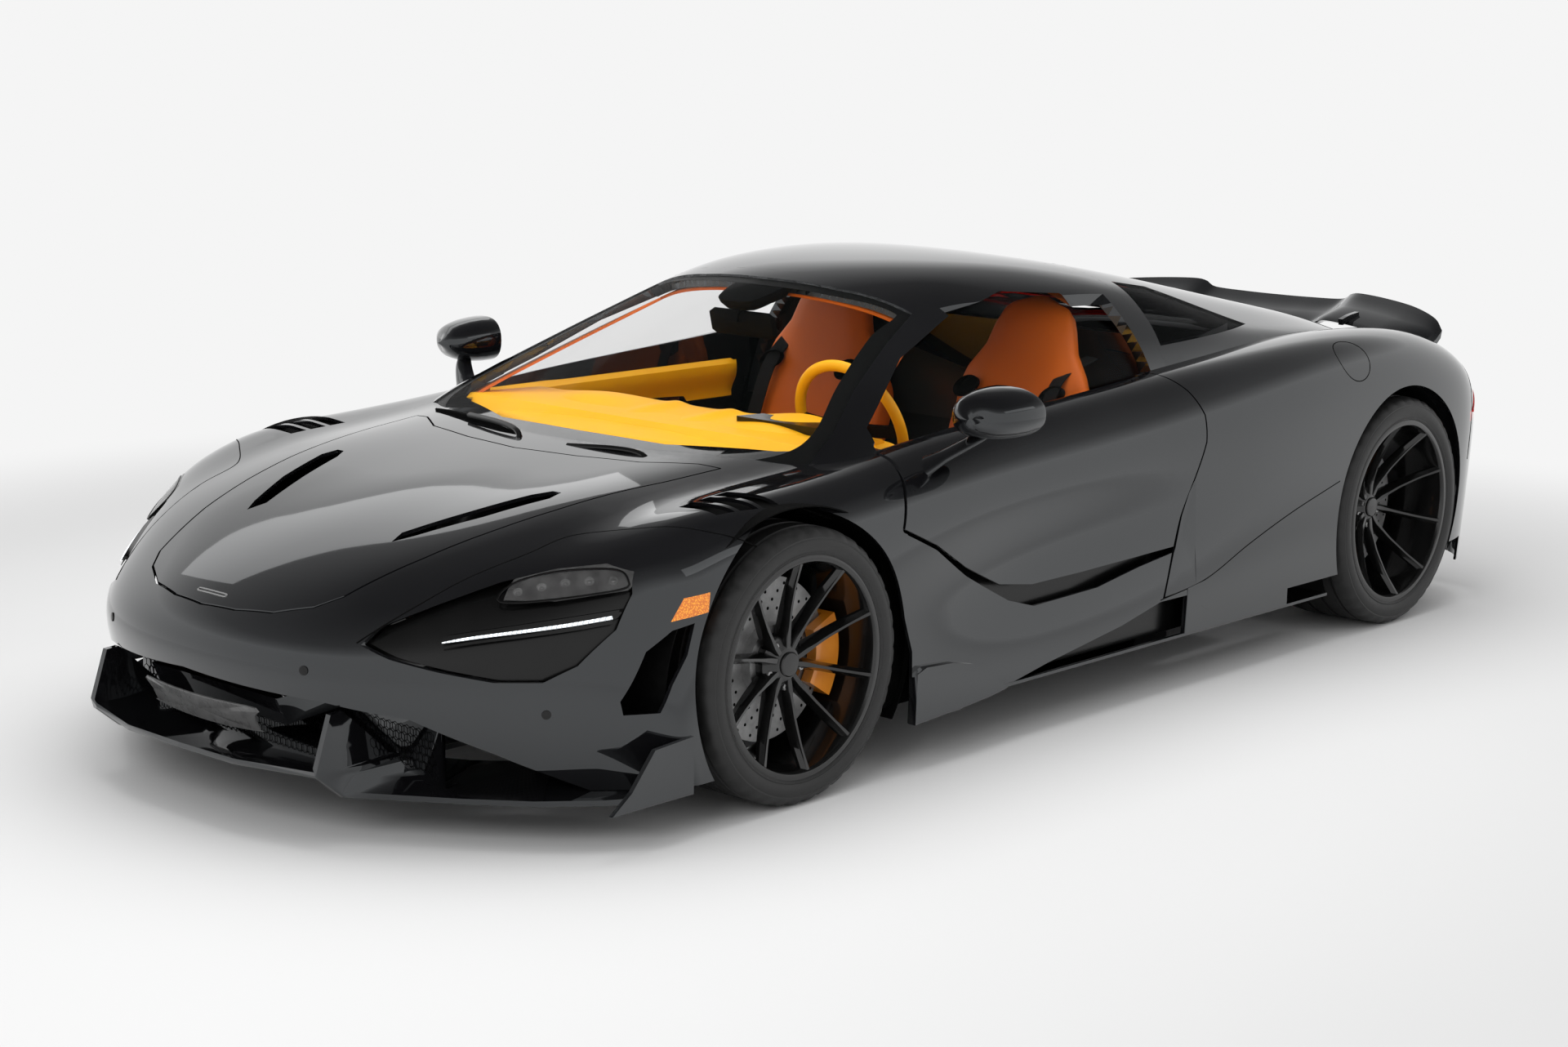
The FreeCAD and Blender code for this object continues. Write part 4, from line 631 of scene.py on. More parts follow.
pod_line = [(1.868, .657, .549), (1.824, .651, .580), (1.75, .70, .601), (1.662, .799, .609),
            (1.651, .834, .589), (1.672, .834, .571), (1.79, .745, .555)]
strip_line = [(1.99, .606, .467), (1.941, .653, .478), (1.86, .72, .488), (1.78, .785, .500),
              (1.705, .842, .514)]
cup_line = [(1.825, .668, .563), (1.745, .735, .580), (1.675, .812, .590)]
cup_rings = ((0.011, 0.004), (0.009, 0.010), (0.005, 0.013), (0.004, 0.006), (0.0005, 0.0045))
CUPS, CUP_CORNERS, GUIDE_STEPS, SHELF_DROP = 5, 16, 60, 0.0105
chrome, _ = mottled("bright_cup", (50.0,), greys(0.55, 0.8), (0.1, 0.1), Metallic=1.0)
for side, sign in SIDES:
    line, outs = draped(rounded_path(both_sides(pod_line, sign), 72, True))
    set_piece(rail(f"pod_rim_{side}", line + outs * 0.0002, outs, flat_bar(0.005, 0.002, 0.004), True),
              socket_black, "chassis", "lamp_lens")
    line, outs = draped(rounded_path(both_sides(cup_line, sign), CUPS))
    cups, cup_faces = [], []
    for spot, out in zip(line, outs):
        first = Vector(out).orthogonal().normalized()
        second = Vector(out).cross(first)
        cup_faces += joined_rows(len(cup_rings), CUP_CORNERS, len(cups))
        for radius, sink in cup_rings:
            for corner in range(CUP_CORNERS):
                turn = math.tau * corner / CUP_CORNERS
                cups.append(Vector(spot) - Vector(out) * sink
                            + (first * math.cos(turn) + second * math.sin(turn)) * radius)
    set_piece(new_piece(f"lamp_cups_{side}", cups, cup_faces), chrome, "chassis", "lamp_lens")
    line, outs = draped(rounded_path(both_sides(strip_line, sign), GUIDE_STEPS))
    width = np.interp(np.linspace(0, 1, GUIDE_STEPS), [0, 0.12, 0.6, 1], [0.35, 0.8, 1, 1.15])
    set_piece(rail(f"light_guide_{side}", line + outs * 0.0004, outs, flat_bar(0.0065, 0.0035, 0.003), False,
                   width), light_guide, "chassis", "lamp_lens")
    set_piece(rail(f"guide_shelf_{side}", line + outs * 0.0002 - np.array([0, 0, SHELF_DROP]), outs,
                   flat_bar(0.007, 0.002, 0.003), False, width), socket_black, "chassis", "lamp_lens")


# Shut lines and small things on the skin. Narrow dark joints where fixed
# panels meet, the filler cap, parking sensors and the blank nose plaque.

# A near-black matte finish for the dark joints and black trims; on the brake discs it is also the painted
# shade of the drilled holes.
joint_black_and_hole_shade, _ = mottled("joint_black_and_hole_shade", (40.0,), greys(0.0008, 0.002), (0.1, 0.75), Specular_IOR_Level=0.1)
joint_section = flat_bar(0.003, 0.0005, 0.003)
shut_lines = {
    "nose_joint": [(2.101, .454, .459), (1.973, .518, .537), (1.876, .553, .581), (1.739, .600, .622),
                   (1.609, .629, .653), (1.503, .758, .673), (1.43, .865, .668), (1.332, .919, .630)],
    "haunch_joint": [(-.232, .95, .267), (-.442, .95, .294), (-.650, .955, .364), (-.862, .96, .427),
                     (-1.105, .963, .486)],
    "tail_joint": [(-1.93, .62, .77), (-1.95, .80, .74), (-1.945, .90, .66), (-1.93, .93, .45)],
}
for name, line in shut_lines.items():
    for side, sign in SIDES:
        path, outs = draped(rounded_path(both_sides(line, sign), 60))
        set_piece(rail(f"{name}_{side}", path, outs, joint_section), joint_black_and_hole_shade, "chassis",
                  "gloss_black_paint")


def circle_on_form(middle, radius, count):
    """A circle that touches the outer form at its middle."""
    spot, out = draped([middle])
    first = np.array(Vector(out[0]).orthogonal().normalized())
    second = np.cross(out[0], first)
    turns = np.linspace(0, math.tau, count, endpoint=False)
    return spot[0] + radius * (np.cos(turns)[:, None] * first + np.sin(turns)[:, None] * second)


def ring_on_form(name, middle, radius, section):
    path, outs = draped(circle_on_form(middle, radius, 64))
    return rail(name, path, outs, section, True)


def disc_on_form(name, middle, radius, steps):
    return patch(name, circle_on_form(middle, radius, 40), steps, smooth_line=False)


CAP_RADIUS = 0.075
for name, y in (("filler_cap_joint", -.90), ("filler_cap_joint_left", .90)):
    set_piece(ring_on_form(name, (-1.219, y, .817), CAP_RADIUS, joint_section), joint_black_and_hole_shade, "chassis",
              "gloss_black_paint")
SENSOR_RADIUS = 0.011
sensor_spots = [(2.17, .36, .39), (1.86, .80, .30)]
button = [(0.001, 0.0022), (0.7, 0.0022), (0.95, 0.0016), (1.0, -0.001)]
for side, sign in SIDES:
    for number, spot in enumerate(sensor_spots):
        sensor = disc_on_form(f"parking_sensor_{number}_{side}", both_sides(spot, sign), SENSOR_RADIUS,
                              button)
        set_piece(sensor, socket_black, "chassis", "gloss_black_paint")
badge_line = [(2.15, y, z) for y, z in
              ((-.048, .522), (0, .5225), (.048, .522), (.051, .514), (.048, .506), (0, .5055), (-.048, .506),
               (-.051, .514))]
silver, _ = mottled("plaque_silver", (200.0, 2.0, 0.5, (1, 12, 1)), greys(0.35, 0.55), (0.2, 0.25),
                    Metallic=0.9)
path, outs = draped(rounded_path(badge_line, 60, True))
set_piece(rail("plaque_frame", path, outs, flat_bar(0.0035, 0.0022, 0.002), True), silver, "front_lid",
          "gloss_black_paint")


# Windscreen surround. A printed black band under the glass, the scuttle with
# its two wipers, and the camera housing with the rear-view mirror.

frit, _ = mottled("printed_band", (300.0,), greys(0.002, 0.004), (0.1, 0.5), Specular_IOR_Level=0.3)
screen_half = [(1.17, 0, .70), (1.155, .20, .70), (1.07, .42, .70), (1.0, .58, .72), (.905, .66, .75),
               (.79, .66, .80), (.62, .585, .90), (.42, .515, 1.0), (.26, .47, 1.05), (.295, .24, 1.09),
               (.308, 0, 1.10)]
screen_ring = screen_half + [(x, -y, z) for x, y, z in screen_half[-2:0:-1]]
path, outs = draped(rounded_path(screen_ring, 220, True), (canopy_form,))
LID_ARM_Y, ARM_ROOM_REACH, ARM_ROOM_SHARE, BAND_BACK_X = .42, .12, .8, .9
BAND_WIDTH, BAND_DEPTH = 0.085, 0.0065
arm_room = np.exp(-((np.abs(path[:, 1]) - LID_ARM_Y) / ARM_ROOM_REACH) ** 2) * (path[:, 0] > BAND_BACK_X)
band = rail("screen_band", path - outs * BAND_DEPTH, outs, flat_bar(BAND_WIDTH, 0.0006, 0.0004), True,
            1 - ARM_ROOM_SHARE * arm_room)
set_piece(band, frit, "chassis", "glass")
for name, pivot, rest_at, tip in (("far", (1.225, -.06, .735), (1.13, -.10, .75), (1.0, -.56, .735)),
                                  ("near", (1.20, .40, .728), (1.125, .33, .76), (1.165, -.10, .74))):
    spots = rounded_path([pivot, rest_at, (np.array(rest_at) * 0.45 + np.array(tip) * 0.55).tolist()], 24)
    path, outs = draped(spots, (canopy_form,))
    rise = np.interp(np.linspace(0, 1, 24), [0, 0.3, 1], [0.012, 0.022, 0.014])[:, None]
    set_piece(rail(f"wiper_arm_{name}", path + outs * rise, outs, flat_bar(0.014, 0.008)), socket_black,
              "chassis", "gloss_black_paint")
    path, outs = draped(rounded_path([rest_at, ((np.array(rest_at) + np.array(tip)) / 2).tolist(), tip], 40),
                        (canopy_form,))
    set_piece(rail(f"wiper_blade_{name}", path + outs * 0.002, outs,
                   [(-.005, 0), (.005, 0), (.005, .006), (.002, .013), (-.002, .013), (-.005, .006)]),
              joint_black_and_hole_shade, "chassis", "gloss_black_paint")
housing_line = [(.44, -.045, 1.03), (.44, .045, 1.03), (.40, .075, 1.05), (.34, .085, 1.07), (.31, .08, 1.08),
                (.31, -.08, 1.08), (.34, -.085, 1.07), (.40, -.075, 1.05)]
set_piece(patch("camera_housing", housing_line,
                [(0.001, -.055), (0.5, -.053), (0.85, -.04), (1.0, -.02), (1.03, -.007), (0.9, -.006),
                 (0.001, -.006)], (canopy_form,)), joint_black_and_hole_shade, "chassis", "dash_leather")
glass_back = [(-.118, -.026), (-.10, -.036), (.10, -.036), (.118, -.026), (.118, .026), (.10, .036),
              (-.10, .036), (-.118, .026)]
points = []
for size, ahead in ((0.05, .028), (0.6, .026), (0.95, .012), (1.0, 0), (0.96, -.004), (0.02, -.004)):
    points += [(.40 + ahead + .25 * b * size, a * size, .975 + b * size) for a, b in glass_back]
faces = joined_rows(6, 8) + [tuple(range(7, -1, -1)), tuple(range(40, 48))]
set_piece(new_piece("rear_view_mirror", points, faces), joint_black_and_hole_shade, "chassis", "dash_leather")
set_piece(rail("mirror_stalk", [(.43, 0, .98), (.425, 0, 1.0), (.41, 0, 1.04)], [(1, 0, 0)] * 3,
               [(-.01, -.01), (.01, -.01), (.01, .01), (-.01, .01)]), joint_black_and_hole_shade, "chassis", "dash_leather")


# Wheels. Low road tyres with grooved tread on dark forged rims, a blank cap and five bolts at the
# hub, and rows of flat dark dots on the brake discs behind: painted shade for their drilled holes.

NOTCH_EVERY, NOTCH_DEPTH = 4, 0.004


def turned_piece(name, middle, profile, segments=128, notch=None):
    """A closed ring about the axle: profile points are (radius, outwards)."""
    cx, cy, cz = middle
    points = []
    width = len(profile)
    for step in range(segments):
        turn = math.tau * step / segments
        for spot, (radius, out) in enumerate(profile):
            if notch and spot in notch and step % NOTCH_EVERY == 0:
                radius -= NOTCH_DEPTH
            points.append((cx + radius * math.sin(turn), cy + out, cz + radius * math.cos(turn)))
    return new_piece(name, points, joined_rows(segments, width, 0, True, True))


def tyre_profile(outer, inner, half, sign):
    groove = 0.0065
    profile = [(inner, half - .014), (inner + .004, half - .007), (inner + .010, half - .003),
               (inner + .013, half - .0045), (inner + .020, half - .0015), (inner + .030, half),
               (outer - .028, half - .0015), (outer - .026, half - .003), (outer - .022, half - .0025),
               (outer - .012, half - .008), (outer - .004, half - .018)]
    first_tread = len(profile)
    for middle in (0.62, 0.22, -0.22, -0.62):
        spot = middle * half
        profile += [(outer - .0006, spot + .014), (outer - .0002, spot + .006),
                    (outer - groove, spot + .0045), (outer - groove, spot - .0045),
                    (outer - .0002, spot - .006), (outer - .0006, spot - .014)]
    last_tread = len(profile)
    profile += [(outer - .004, -half + .018), (outer - .012, -half + .008), (outer - .022, -half + .0025),
                (inner + .030, -half), (inner + .010, -half + .003), (inner, -half + .014)]
    notches = {first_tread - 1, first_tread - 2, last_tread, last_tread + 1, first_tread, last_tread - 1}
    return [(radius, out * sign) for radius, out in profile], notches


def node_tree(name, sizes):
    """A new node tree with these named sizes as its inputs."""
    tree = bpy.data.node_groups.new(name, "GeometryNodeTree")
    for socket, value in sizes.items():
        kind = "NodeSocketInt" if isinstance(value, int) else "NodeSocketFloat"
        tree.interface.new_socket(socket, in_out="INPUT", socket_type=kind).default_value = value
    tree.interface.new_socket("Geometry", in_out="OUTPUT", socket_type="NodeSocketGeometry")
    given = tree.nodes.new("NodeGroupInput")
    return Wire(tree), {socket.name: Wire(tree, socket) for socket in given.outputs if socket.name}


def grown_piece(name, wire, placed, finish):
    """The piece that a node tree makes from its placed copies."""
    solid = wire.node("GeometryNodeRealizeInstances", None, {"Geometry": placed})
    dressed = wire.node("GeometryNodeSetMaterial", None, {"Geometry": solid, "Material": finish})
    wire.node("NodeGroupOutput", None, {"Geometry": dressed})
    holder = bpy.data.objects.new(name, bpy.data.meshes.new(name))
    bpy.context.scene.collection.objects.link(holder)
    maker = holder.modifiers.new(wire.tree.name, "NODES")
    maker.node_group = wire.tree
    bpy.context.view_layer.update()
    made = bpy.data.meshes.new_from_object(holder.evaluated_get(bpy.context.evaluated_depsgraph_get()))
    holder.modifiers.clear()
    holder.data = made
    return holder


def hole_shade_dots(name, middle, face_y, reach_in, reach_out, finish, sign):
    """Rows of flat dark dots on a disc face, painted shade for its drilled holes, placed by a node tree."""
    wire, take = node_tree("hole_shade_rows", {"Rows": 4, "Holes": 24, "Inner": reach_in, "Outer": reach_out,
                                            "Hole radius": 0.0042})
    total = wire.sum("MULTIPLY", take["Rows"], take["Holes"])
    dots = wire.node("GeometryNodePoints", None, {"Count": total})
    number = wire.node("GeometryNodeInputIndex")
    row = wire.sum("MODULO", number, take["Rows"])
    turn = wire.sum("FLOOR", number / take["Rows"]) / take["Holes"] * math.tau + row * 0.16
    reach = take["Inner"] + (take["Outer"] - take["Inner"]) * (row / (take["Rows"] - 1))
    spot = wire.node("ShaderNodeCombineXYZ", None, {
        "X": wire.sum("SINE", turn) * reach + middle[0], "Y": face_y,
        "Z": wire.sum("COSINE", turn) * reach + middle[2]})
    moved = wire.node("GeometryNodeSetPosition", None, {"Geometry": dots, "Position": spot})
    dot = wire.node("GeometryNodeMeshCircle", {"fill_type": "NGON"},
                    {"Vertices": 10, "Radius": take["Hole radius"]})
    placed = wire.node("GeometryNodeInstanceOnPoints", None, {
        "Points": moved, "Instance": dot, "Rotation": (-sign * math.pi / 2, 0, 0)})
    return grown_piece(name, wire, placed, finish)


SPOKES, FIRST_SPOKE_DEGREES, SPOKE_LEAN_DEGREES = 10, 4, 5
HUB_RADIUS, SPOKE_TIP_INSET = .034, .012
FRONT_HUB_OUT, REAR_HUB_OUT, NARROW_RIM_HALF = 0.062, 0.045, 0.12


def forged_rim(name, middle, radius, half, sign):
    """A deep rim band with ten slim spokes that rise from a small hub to the outer edge."""
    points, faces = [], []
    cx, cy, cz = middle

    def turned_band(profile, segments=144):
        start, width = len(points), len(profile)
        for step in range(segments):
            turn = math.tau * step / segments
            for reach, out in profile:
                points.append((cx + reach * math.sin(turn), cy + out * sign, cz + reach * math.cos(turn)))
        faces.extend(joined_rows(segments, width, start, True, True))

    turned_band([(radius + .004, half + .001), (radius - .001, half + .0025), (radius - .010, half + .0015),
                 (radius - .0135, half - .003), (radius - .015, half - .012), (radius - .021, half - .040),
                 (radius - .026, 0), (radius - .021, -half + .03), (radius - .010, -half),
                 (radius + .004, -half), (radius + .003, -half + .01), (radius - .003, -half + .02),
                 (radius - .012, 0), (radius - .003, half - .02), (radius + .003, half - .01)])
    hub_y = FRONT_HUB_OUT if half < NARROW_RIM_HALF else REAR_HUB_OUT
    turned_band([(.0005, hub_y - .002), (.034, hub_y - .002), (.040, hub_y - .004), (.046, hub_y - .010),
                 (.060, hub_y - .014), (.068, hub_y - .022), (.070, hub_y - .045), (.0005, hub_y - .045)], 60)
    stations = np.linspace(0, 1, 15)
    reach = HUB_RADIUS + (radius - SPOKE_TIP_INSET - HUB_RADIUS) * stations
    front = np.interp(stations, [0, .16, .45, .75, 1], [hub_y - .003, hub_y, hub_y + (half - hub_y) * .22,
                                                       hub_y + (half - hub_y) * .58, half - .0015])
    ridge = np.interp(stations, [0, .12, .3, .8, 1], [.0075, .0085, .0050, .0042, .0062])
    foot = np.interp(stations, [0, .12, .4, 1], [.011, .0145, .0105, .0115])
    depth = np.interp(stations, [0, .2, .7, 1], [.034, .036, .027, .022])
    for spoke in range(SPOKES):
        base = math.radians(360 / SPOKES * spoke + FIRST_SPOKE_DEGREES)
        lean = math.radians(SPOKE_LEAN_DEGREES) * (1 if spoke % 2 else -1)
        start = len(points)
        for n in range(len(stations)):
            turn = base + lean * (1 - stations[n]) ** 3
            out_way = np.array([math.sin(turn), 0, math.cos(turn)])
            side_way = np.array([math.cos(turn), 0, -math.sin(turn)])
            at = np.array(middle) + out_way * reach[n]
            for a, b in ((-foot[n], -depth[n]), (-foot[n], -depth[n] * .55), (-ridge[n], -.004),
                         (-ridge[n] * .7, 0), (ridge[n] * .7, 0), (ridge[n], -.004),
                         (foot[n], -depth[n] * .55), (foot[n], -depth[n])):
                points.append(tuple(at + side_way * a + np.array([0, (front[n] + b) * sign, 0])))
        faces.extend(joined_rows(len(stations), 8, start) + two_ends(len(stations), 8, start))
    return new_piece(name, points, faces)


DISC_FACE_OUT = -0.0078
DRILLED_FROM, DRILLED_TO = 0.62, 0.93
BOLTS, BOLT_CIRCLE = 5, .056
for end in ("front", "rear"):
    for side, sign in SIDES:
        low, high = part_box(f"tyre_{end}_{side}")
        middle = (low + high) / 2
        outer, half = (high.z - low.z) / 2, (high.y - low.y) / 2
        rim_low, rim_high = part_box(f"rim_{end}_{side}")
        rim_radius = (rim_high.z - rim_low.z) / 2
        rim_half = (rim_high.y - rim_low.y) / 2
        body = f"wheel_{end}_{side}"
        profile, notches = tyre_profile(outer, rim_radius, half, sign)
        set_piece(turned_piece(f"road_tyre_{end}_{side}", middle, profile, 160, notches), tyre_rubber, body,
                  "tyre", f"tyre_{end}_{side}")
        rim = forged_rim(f"forged_rim_{end}_{side}", middle, rim_radius, rim_half, sign)
        set_piece(rim, wheel_black, body, "wheel_metal", f"rim_{end}_{side}")
        face_out = (FRONT_HUB_OUT if rim_half < NARROW_RIM_HALF else REAR_HUB_OUT) * sign
        cap = [(reach, face_out + out * sign) for reach, out in
               ((.0295, -.002), (.0295, .002), (.027, .0045), (.016, .0052), (.0005, .0055), (.0005, -.002))]
        set_piece(turned_piece(f"wheel_cap_{end}_{side}", middle, cap, 48), wheel_black, body, "wheel_metal")
        bolts, bolt_faces = [], []
        for bolt in range(BOLTS):
            turn = math.tau * (bolt + 0.5) / BOLTS
            at = Vector((middle.x + BOLT_CIRCLE * math.sin(turn), middle.y,
                         middle.z + BOLT_CIRCLE * math.cos(turn)))
            start = len(bolts)
            for radius, out in ((.0085, -.024), (.0085, -.010), (.007, -.0085), (.004, -.0085),
                                (.0035, -.012)):
                for corner in range(6):
                    angle = math.tau * corner / 6
                    bolts.append(at + Vector((radius * math.cos(angle), face_out + out * sign,
                                              radius * math.sin(angle))))
            bolt_faces += joined_rows(5, 6, start) + two_ends(5, 6, start)
        set_piece(new_piece(f"wheel_bolts_{end}_{side}", bolts, bolt_faces), disc_grey, body, "wheel_metal")
        disc_low, disc_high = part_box(f"disc_{end}_{side}")
        disc_reach = (disc_high.z - disc_low.z) / 2
        disc_face = middle.y + DISC_FACE_OUT * sign
        # Flat near-black dots on the disc face: painted shade for the inside of the drilled holes.
        hole_shade_piece = hole_shade_dots(f"disc_hole_shade_{end}_{side}", middle, disc_face, disc_reach * DRILLED_FROM,
                          disc_reach * DRILLED_TO, joint_black_and_hole_shade, sign)
        set_piece(hole_shade_piece, None, body, "brake_disc")


# Cabin. Two one-piece bucket seats in stitched leather over foam, black belts,
# a padded dashboard top, trims along the windscreen pillars and door cards.

def swell(t, start, end):
    share = np.clip((t - start) / (end - start), 0, 1)
    return share * share * (3 - 2 * share)


seat_line = np.array([(.20, .22), (.215, .27), (.20, .315), (.15, .330), (.06, .322), (-.04, .298),
                      (-.12, .280), (-.175, .290), (-.215, .335), (-.245, .43), (-.28, .54),
                      (-.315, .65), (-.345, .745), (-.368, .815), (-.385, .875), (-.402, .935),
                      (-.42, .975), (-.445, .99)])
seat_half = np.array([.20, .225, .235, .24, .24, .24, .24, .235, .235, .238, .242, .245, .235, .20, .155,
                      .135, .115, .08])


BOLSTER_RISE, CROWN_RISE, SEAM_DEPTH = 0.062, 0.016, 0.009
PLEAT_DEPTH, PLEAT_PITCH, NECK_DEPTH = 0.007, 0.062, 0.012
FRONT_THICKNESS, BACK_THICKNESS, BACK_THINNING = 0.030, 0.055, 0.02


def bucket_seat(name, middle_y):
    stations, ring = 120, 64
    run = np.concatenate([[0], np.cumsum(np.linalg.norm(np.diff(seat_line, axis=0), axis=1))])
    spots = np.linspace(0, run[-1], stations)
    smooth = rounded_path(np.concatenate([seat_line, np.zeros((len(seat_line), 1))], 1), stations)[:, :2]
    half = np.interp(spots, run, seat_half)
    ahead = np.gradient(smooth, axis=0)
    ahead /= np.linalg.norm(ahead, axis=1)[:, None]
    out = np.stack([ahead[:, 1], -ahead[:, 0]], 1)
    share = spots / run[-1]
    turns = np.linspace(0, math.tau, ring, endpoint=False)
    across = np.sign(np.cos(turns)) * np.abs(np.cos(turns)) ** 0.75
    front = np.sin(turns) >= 0
    points = []
    for n in range(stations):
        t = np.abs(across)
        bolster = BOLSTER_RISE * swell(t, 0.55, 0.86) * swell(share[n], 0.05, 0.22)
        bolster *= 1 - 0.9 * swell(share[n], 0.74, 0.84)
        crown = CROWN_RISE * (1 - (t / 0.55) ** 2).clip(0, 1)
        seam = SEAM_DEPTH * np.exp(-((t - 0.56) / 0.035) ** 2)
        pleat_step = (spots[n] % PLEAT_PITCH) / PLEAT_PITCH
        pleat = PLEAT_DEPTH * np.exp(-((min(pleat_step, 1 - pleat_step)) / 0.09) ** 2) * (t < 0.5)
        pleat = pleat * swell(0.55 - t, 0, 0.06)
        pleat *= swell(share[n], 0.1, 0.16) * (1 - swell(share[n], 0.70, 0.76))
        neck = NECK_DEPTH * np.exp(-((share[n] - 0.80) / 0.02) ** 2)
        thick_front = FRONT_THICKNESS * np.abs(np.sin(turns)) ** 0.6
        thick_back = BACK_THICKNESS - BACK_THINNING * swell(share[n], 0.6, 0.9)
        thick_back = thick_back * np.abs(np.sin(turns)) ** 0.6
        lift = np.where(front, thick_front + bolster + crown - seam - pleat - neck,
                        -thick_back + bolster * 0.55)
        end = 1 - 0.5 * swell(share[n], 0.985, 1.0) - 0.25 * (1 - swell(share[n], 0.0, 0.015))
        for k in range(ring):
            spot = smooth[n] - out[n] * lift[k]
            points.append((spot[0], middle_y + across[k] * half[n] * end, spot[1]))
    faces = joined_rows(stations, ring)
    faces += [tuple(range(ring)), tuple(range((stations - 1) * ring, stations * ring))]
    return new_piece(name, points, faces)


seat_y = 0.375
OPENING_X, OPENING_Z, OPENING_ASIDE, SEAT_BACK_LEAN, OPENING_CORNERS = -.292, .765, .150, 0.32, 20
for side, sign in SIDES:
    seat = bucket_seat(f"bucket_seat_{side}", seat_y * sign)
    set_piece(seat, orange_leather, "chassis", "seat_leather", *(["seats"] if side == "left" else []))
    for number, hole in enumerate((-1, 1)):
        spots = []
        for corner in range(OPENING_CORNERS):
            turn = math.tau * corner / OPENING_CORNERS
            up = OPENING_Z + .030 * math.sin(turn) + 0.01 * math.cos(turn)
            aside = seat_y * sign + hole * OPENING_ASIDE + .042 * math.cos(turn)
            spots.append((OPENING_X - (up - OPENING_Z) * SEAT_BACK_LEAN, aside, up))
        ends = [[(x + ahead, y, z) for x, y, z in spots] for ahead in (.012, .016, .010, -.012)]
        sizes = (1.0, 0.94, 0.82, 0.78)
        centre = np.mean(spots, 0)
        points = [(np.array(spot) - centre) * size + centre for end, size in zip(ends, sizes) for spot in end]
        last = (len(ends) - 1) * OPENING_CORNERS
        faces = joined_rows(len(ends), OPENING_CORNERS) + [tuple(range(last, last + OPENING_CORNERS))]
        opening = new_piece(f"belt_opening_{number}_{side}", points, faces)
        set_piece(opening, joint_black_and_hole_shade, "chassis", "seat_leather")

belt_weave, place = new_finish("belt_weave", Specular_IOR_Level=0.2)
ribs = (place.part("Z") * 2600).sum("SINE", place.part("Z") * 2600) * 0.5 + 0.5
feed(belt_weave, Base_Color=ribs.ramp((0.2, grey(0.006)), (0.8, grey(0.014))), Roughness=ribs * 0.1 + 0.7)
for side, sign in SIDES:
    out_y = (seat_y + .165) * sign
    line = rounded_path([(x, out_y + away * sign, z) for x, away, z in
                         ((-.45, 0, .86), (-.345, -.02, .82), (-.27, -.015, .74), (-.215, 0, .58),
                          (-.16, .035, .40), (-.13, .06, .30))], 50)
    outs = np.tile(np.array([[0.92, -0.15 * sign, 0.38]]), (50, 1))
    outs /= np.linalg.norm(outs, axis=1)[:, None]
    set_piece(rail(f"belt_{side}", line, outs, flat_bar(0.047, 0.003)), belt_weave, "chassis", "seat_leather")

# The padded top of the dashboard
DASH_HALF, DASH_BACK_X, DASH_FRONT_X, DASH_TOP_Z, DASH_FOOT_Z = 0.66, 0.525, 0.985, 0.762, 0.70
columns, rows = 121, 41
points = []
for level in (0, 1):
    for j in range(rows):
        for i in range(columns):
            y = -DASH_HALF + 2 * DASH_HALF * i / (columns - 1)
            front = DASH_FRONT_X - 0.50 * y * y
            s = j / (rows - 1)
            x = DASH_BACK_X + (front - DASH_BACK_X) * s
            z = DASH_TOP_Z - 0.020 * s - 0.05 * y * y
            z += 0.030 * math.exp(-((y - seat_y) / .15) ** 2) * float(1 - swell(np.array(s), .28, .62))
            z += 0.018 * math.exp(-((y + .36) / .16) ** 2) * math.exp(-((s - .25) / .25) ** 2)
            z += 0.010 * math.exp(-((abs(y) - .10) / .035) ** 2) * math.exp(-((s - .2) / .3) ** 2)
            z -= 0.016 * math.exp(-((s - .62) / .035) ** 2) * (1 if abs(y) < .5 else 0)
            edge = min(s, 1 - s, (DASH_HALF - abs(y)) / 0.3)
            z -= 0.022 * (1 - min(edge / .05, 1)) ** 2
            points.append((x, y, z if level == 0 else DASH_FOOT_Z))
dash_pad = new_piece("dash_pad", points, sheet_faces(columns, rows))
set_piece(dash_pad, yellow_leather, "chassis", "dash_leather")
slot_line = [(.80 - 0.32 * y * y, y, .7475 - 0.05 * y * y) for y in np.linspace(-.5, .5, 60)]
set_piece(rail("defroster_slot", slot_line, [(0, 0, 1)] * 60, flat_bar(0.022, 0.002)), joint_black_and_hole_shade, "chassis",
          "dash_leather")
cluster = [(x, seat_y + y, z) for x, y, z in ((.560, -.15, .715), (.560, .15, .715), (.575, .14, .775),
                                             (.575, -.14, .775))]
rim_back = [(x + .10, y, z + .004) for x, y, z in cluster]
set_piece(new_piece("instrument_pod", cluster + rim_back,
                    [(0, 1, 2, 3), (4, 7, 6, 5), (0, 4, 5, 1), (1, 5, 6, 2), (2, 6, 7, 3), (3, 7, 4, 0)],
                    False), socket_black, "chassis", "dash_leather")

# Trims that line the windscreen pillars and the header
pillar_line = [(.96, .655, .70), (.80, .66, .78), (.62, .60, .89), (.43, .53, .99), (.29, .475, 1.035)]
for side, sign in SIDES:
    path, outs = draped(rounded_path(both_sides(pillar_line, sign), 50), (canopy_form,))
    set_piece(rail(f"pillar_trim_{side}", path - outs * 0.046, outs, flat_bar(0.075, 0.008)), orange_leather,
              "chassis", "seat_leather")
header_line = [(.245, -.47, 1.05), (.27, -.24, 1.09), (.275, 0, 1.10), (.27, .24, 1.09), (.245, .47, 1.05)]
path, outs = draped(rounded_path(header_line, 50), (canopy_form,))
set_piece(rail("header_trim", path - outs * 0.046, outs, flat_bar(0.07, 0.008)), orange_leather, "chassis",
          "seat_leather")

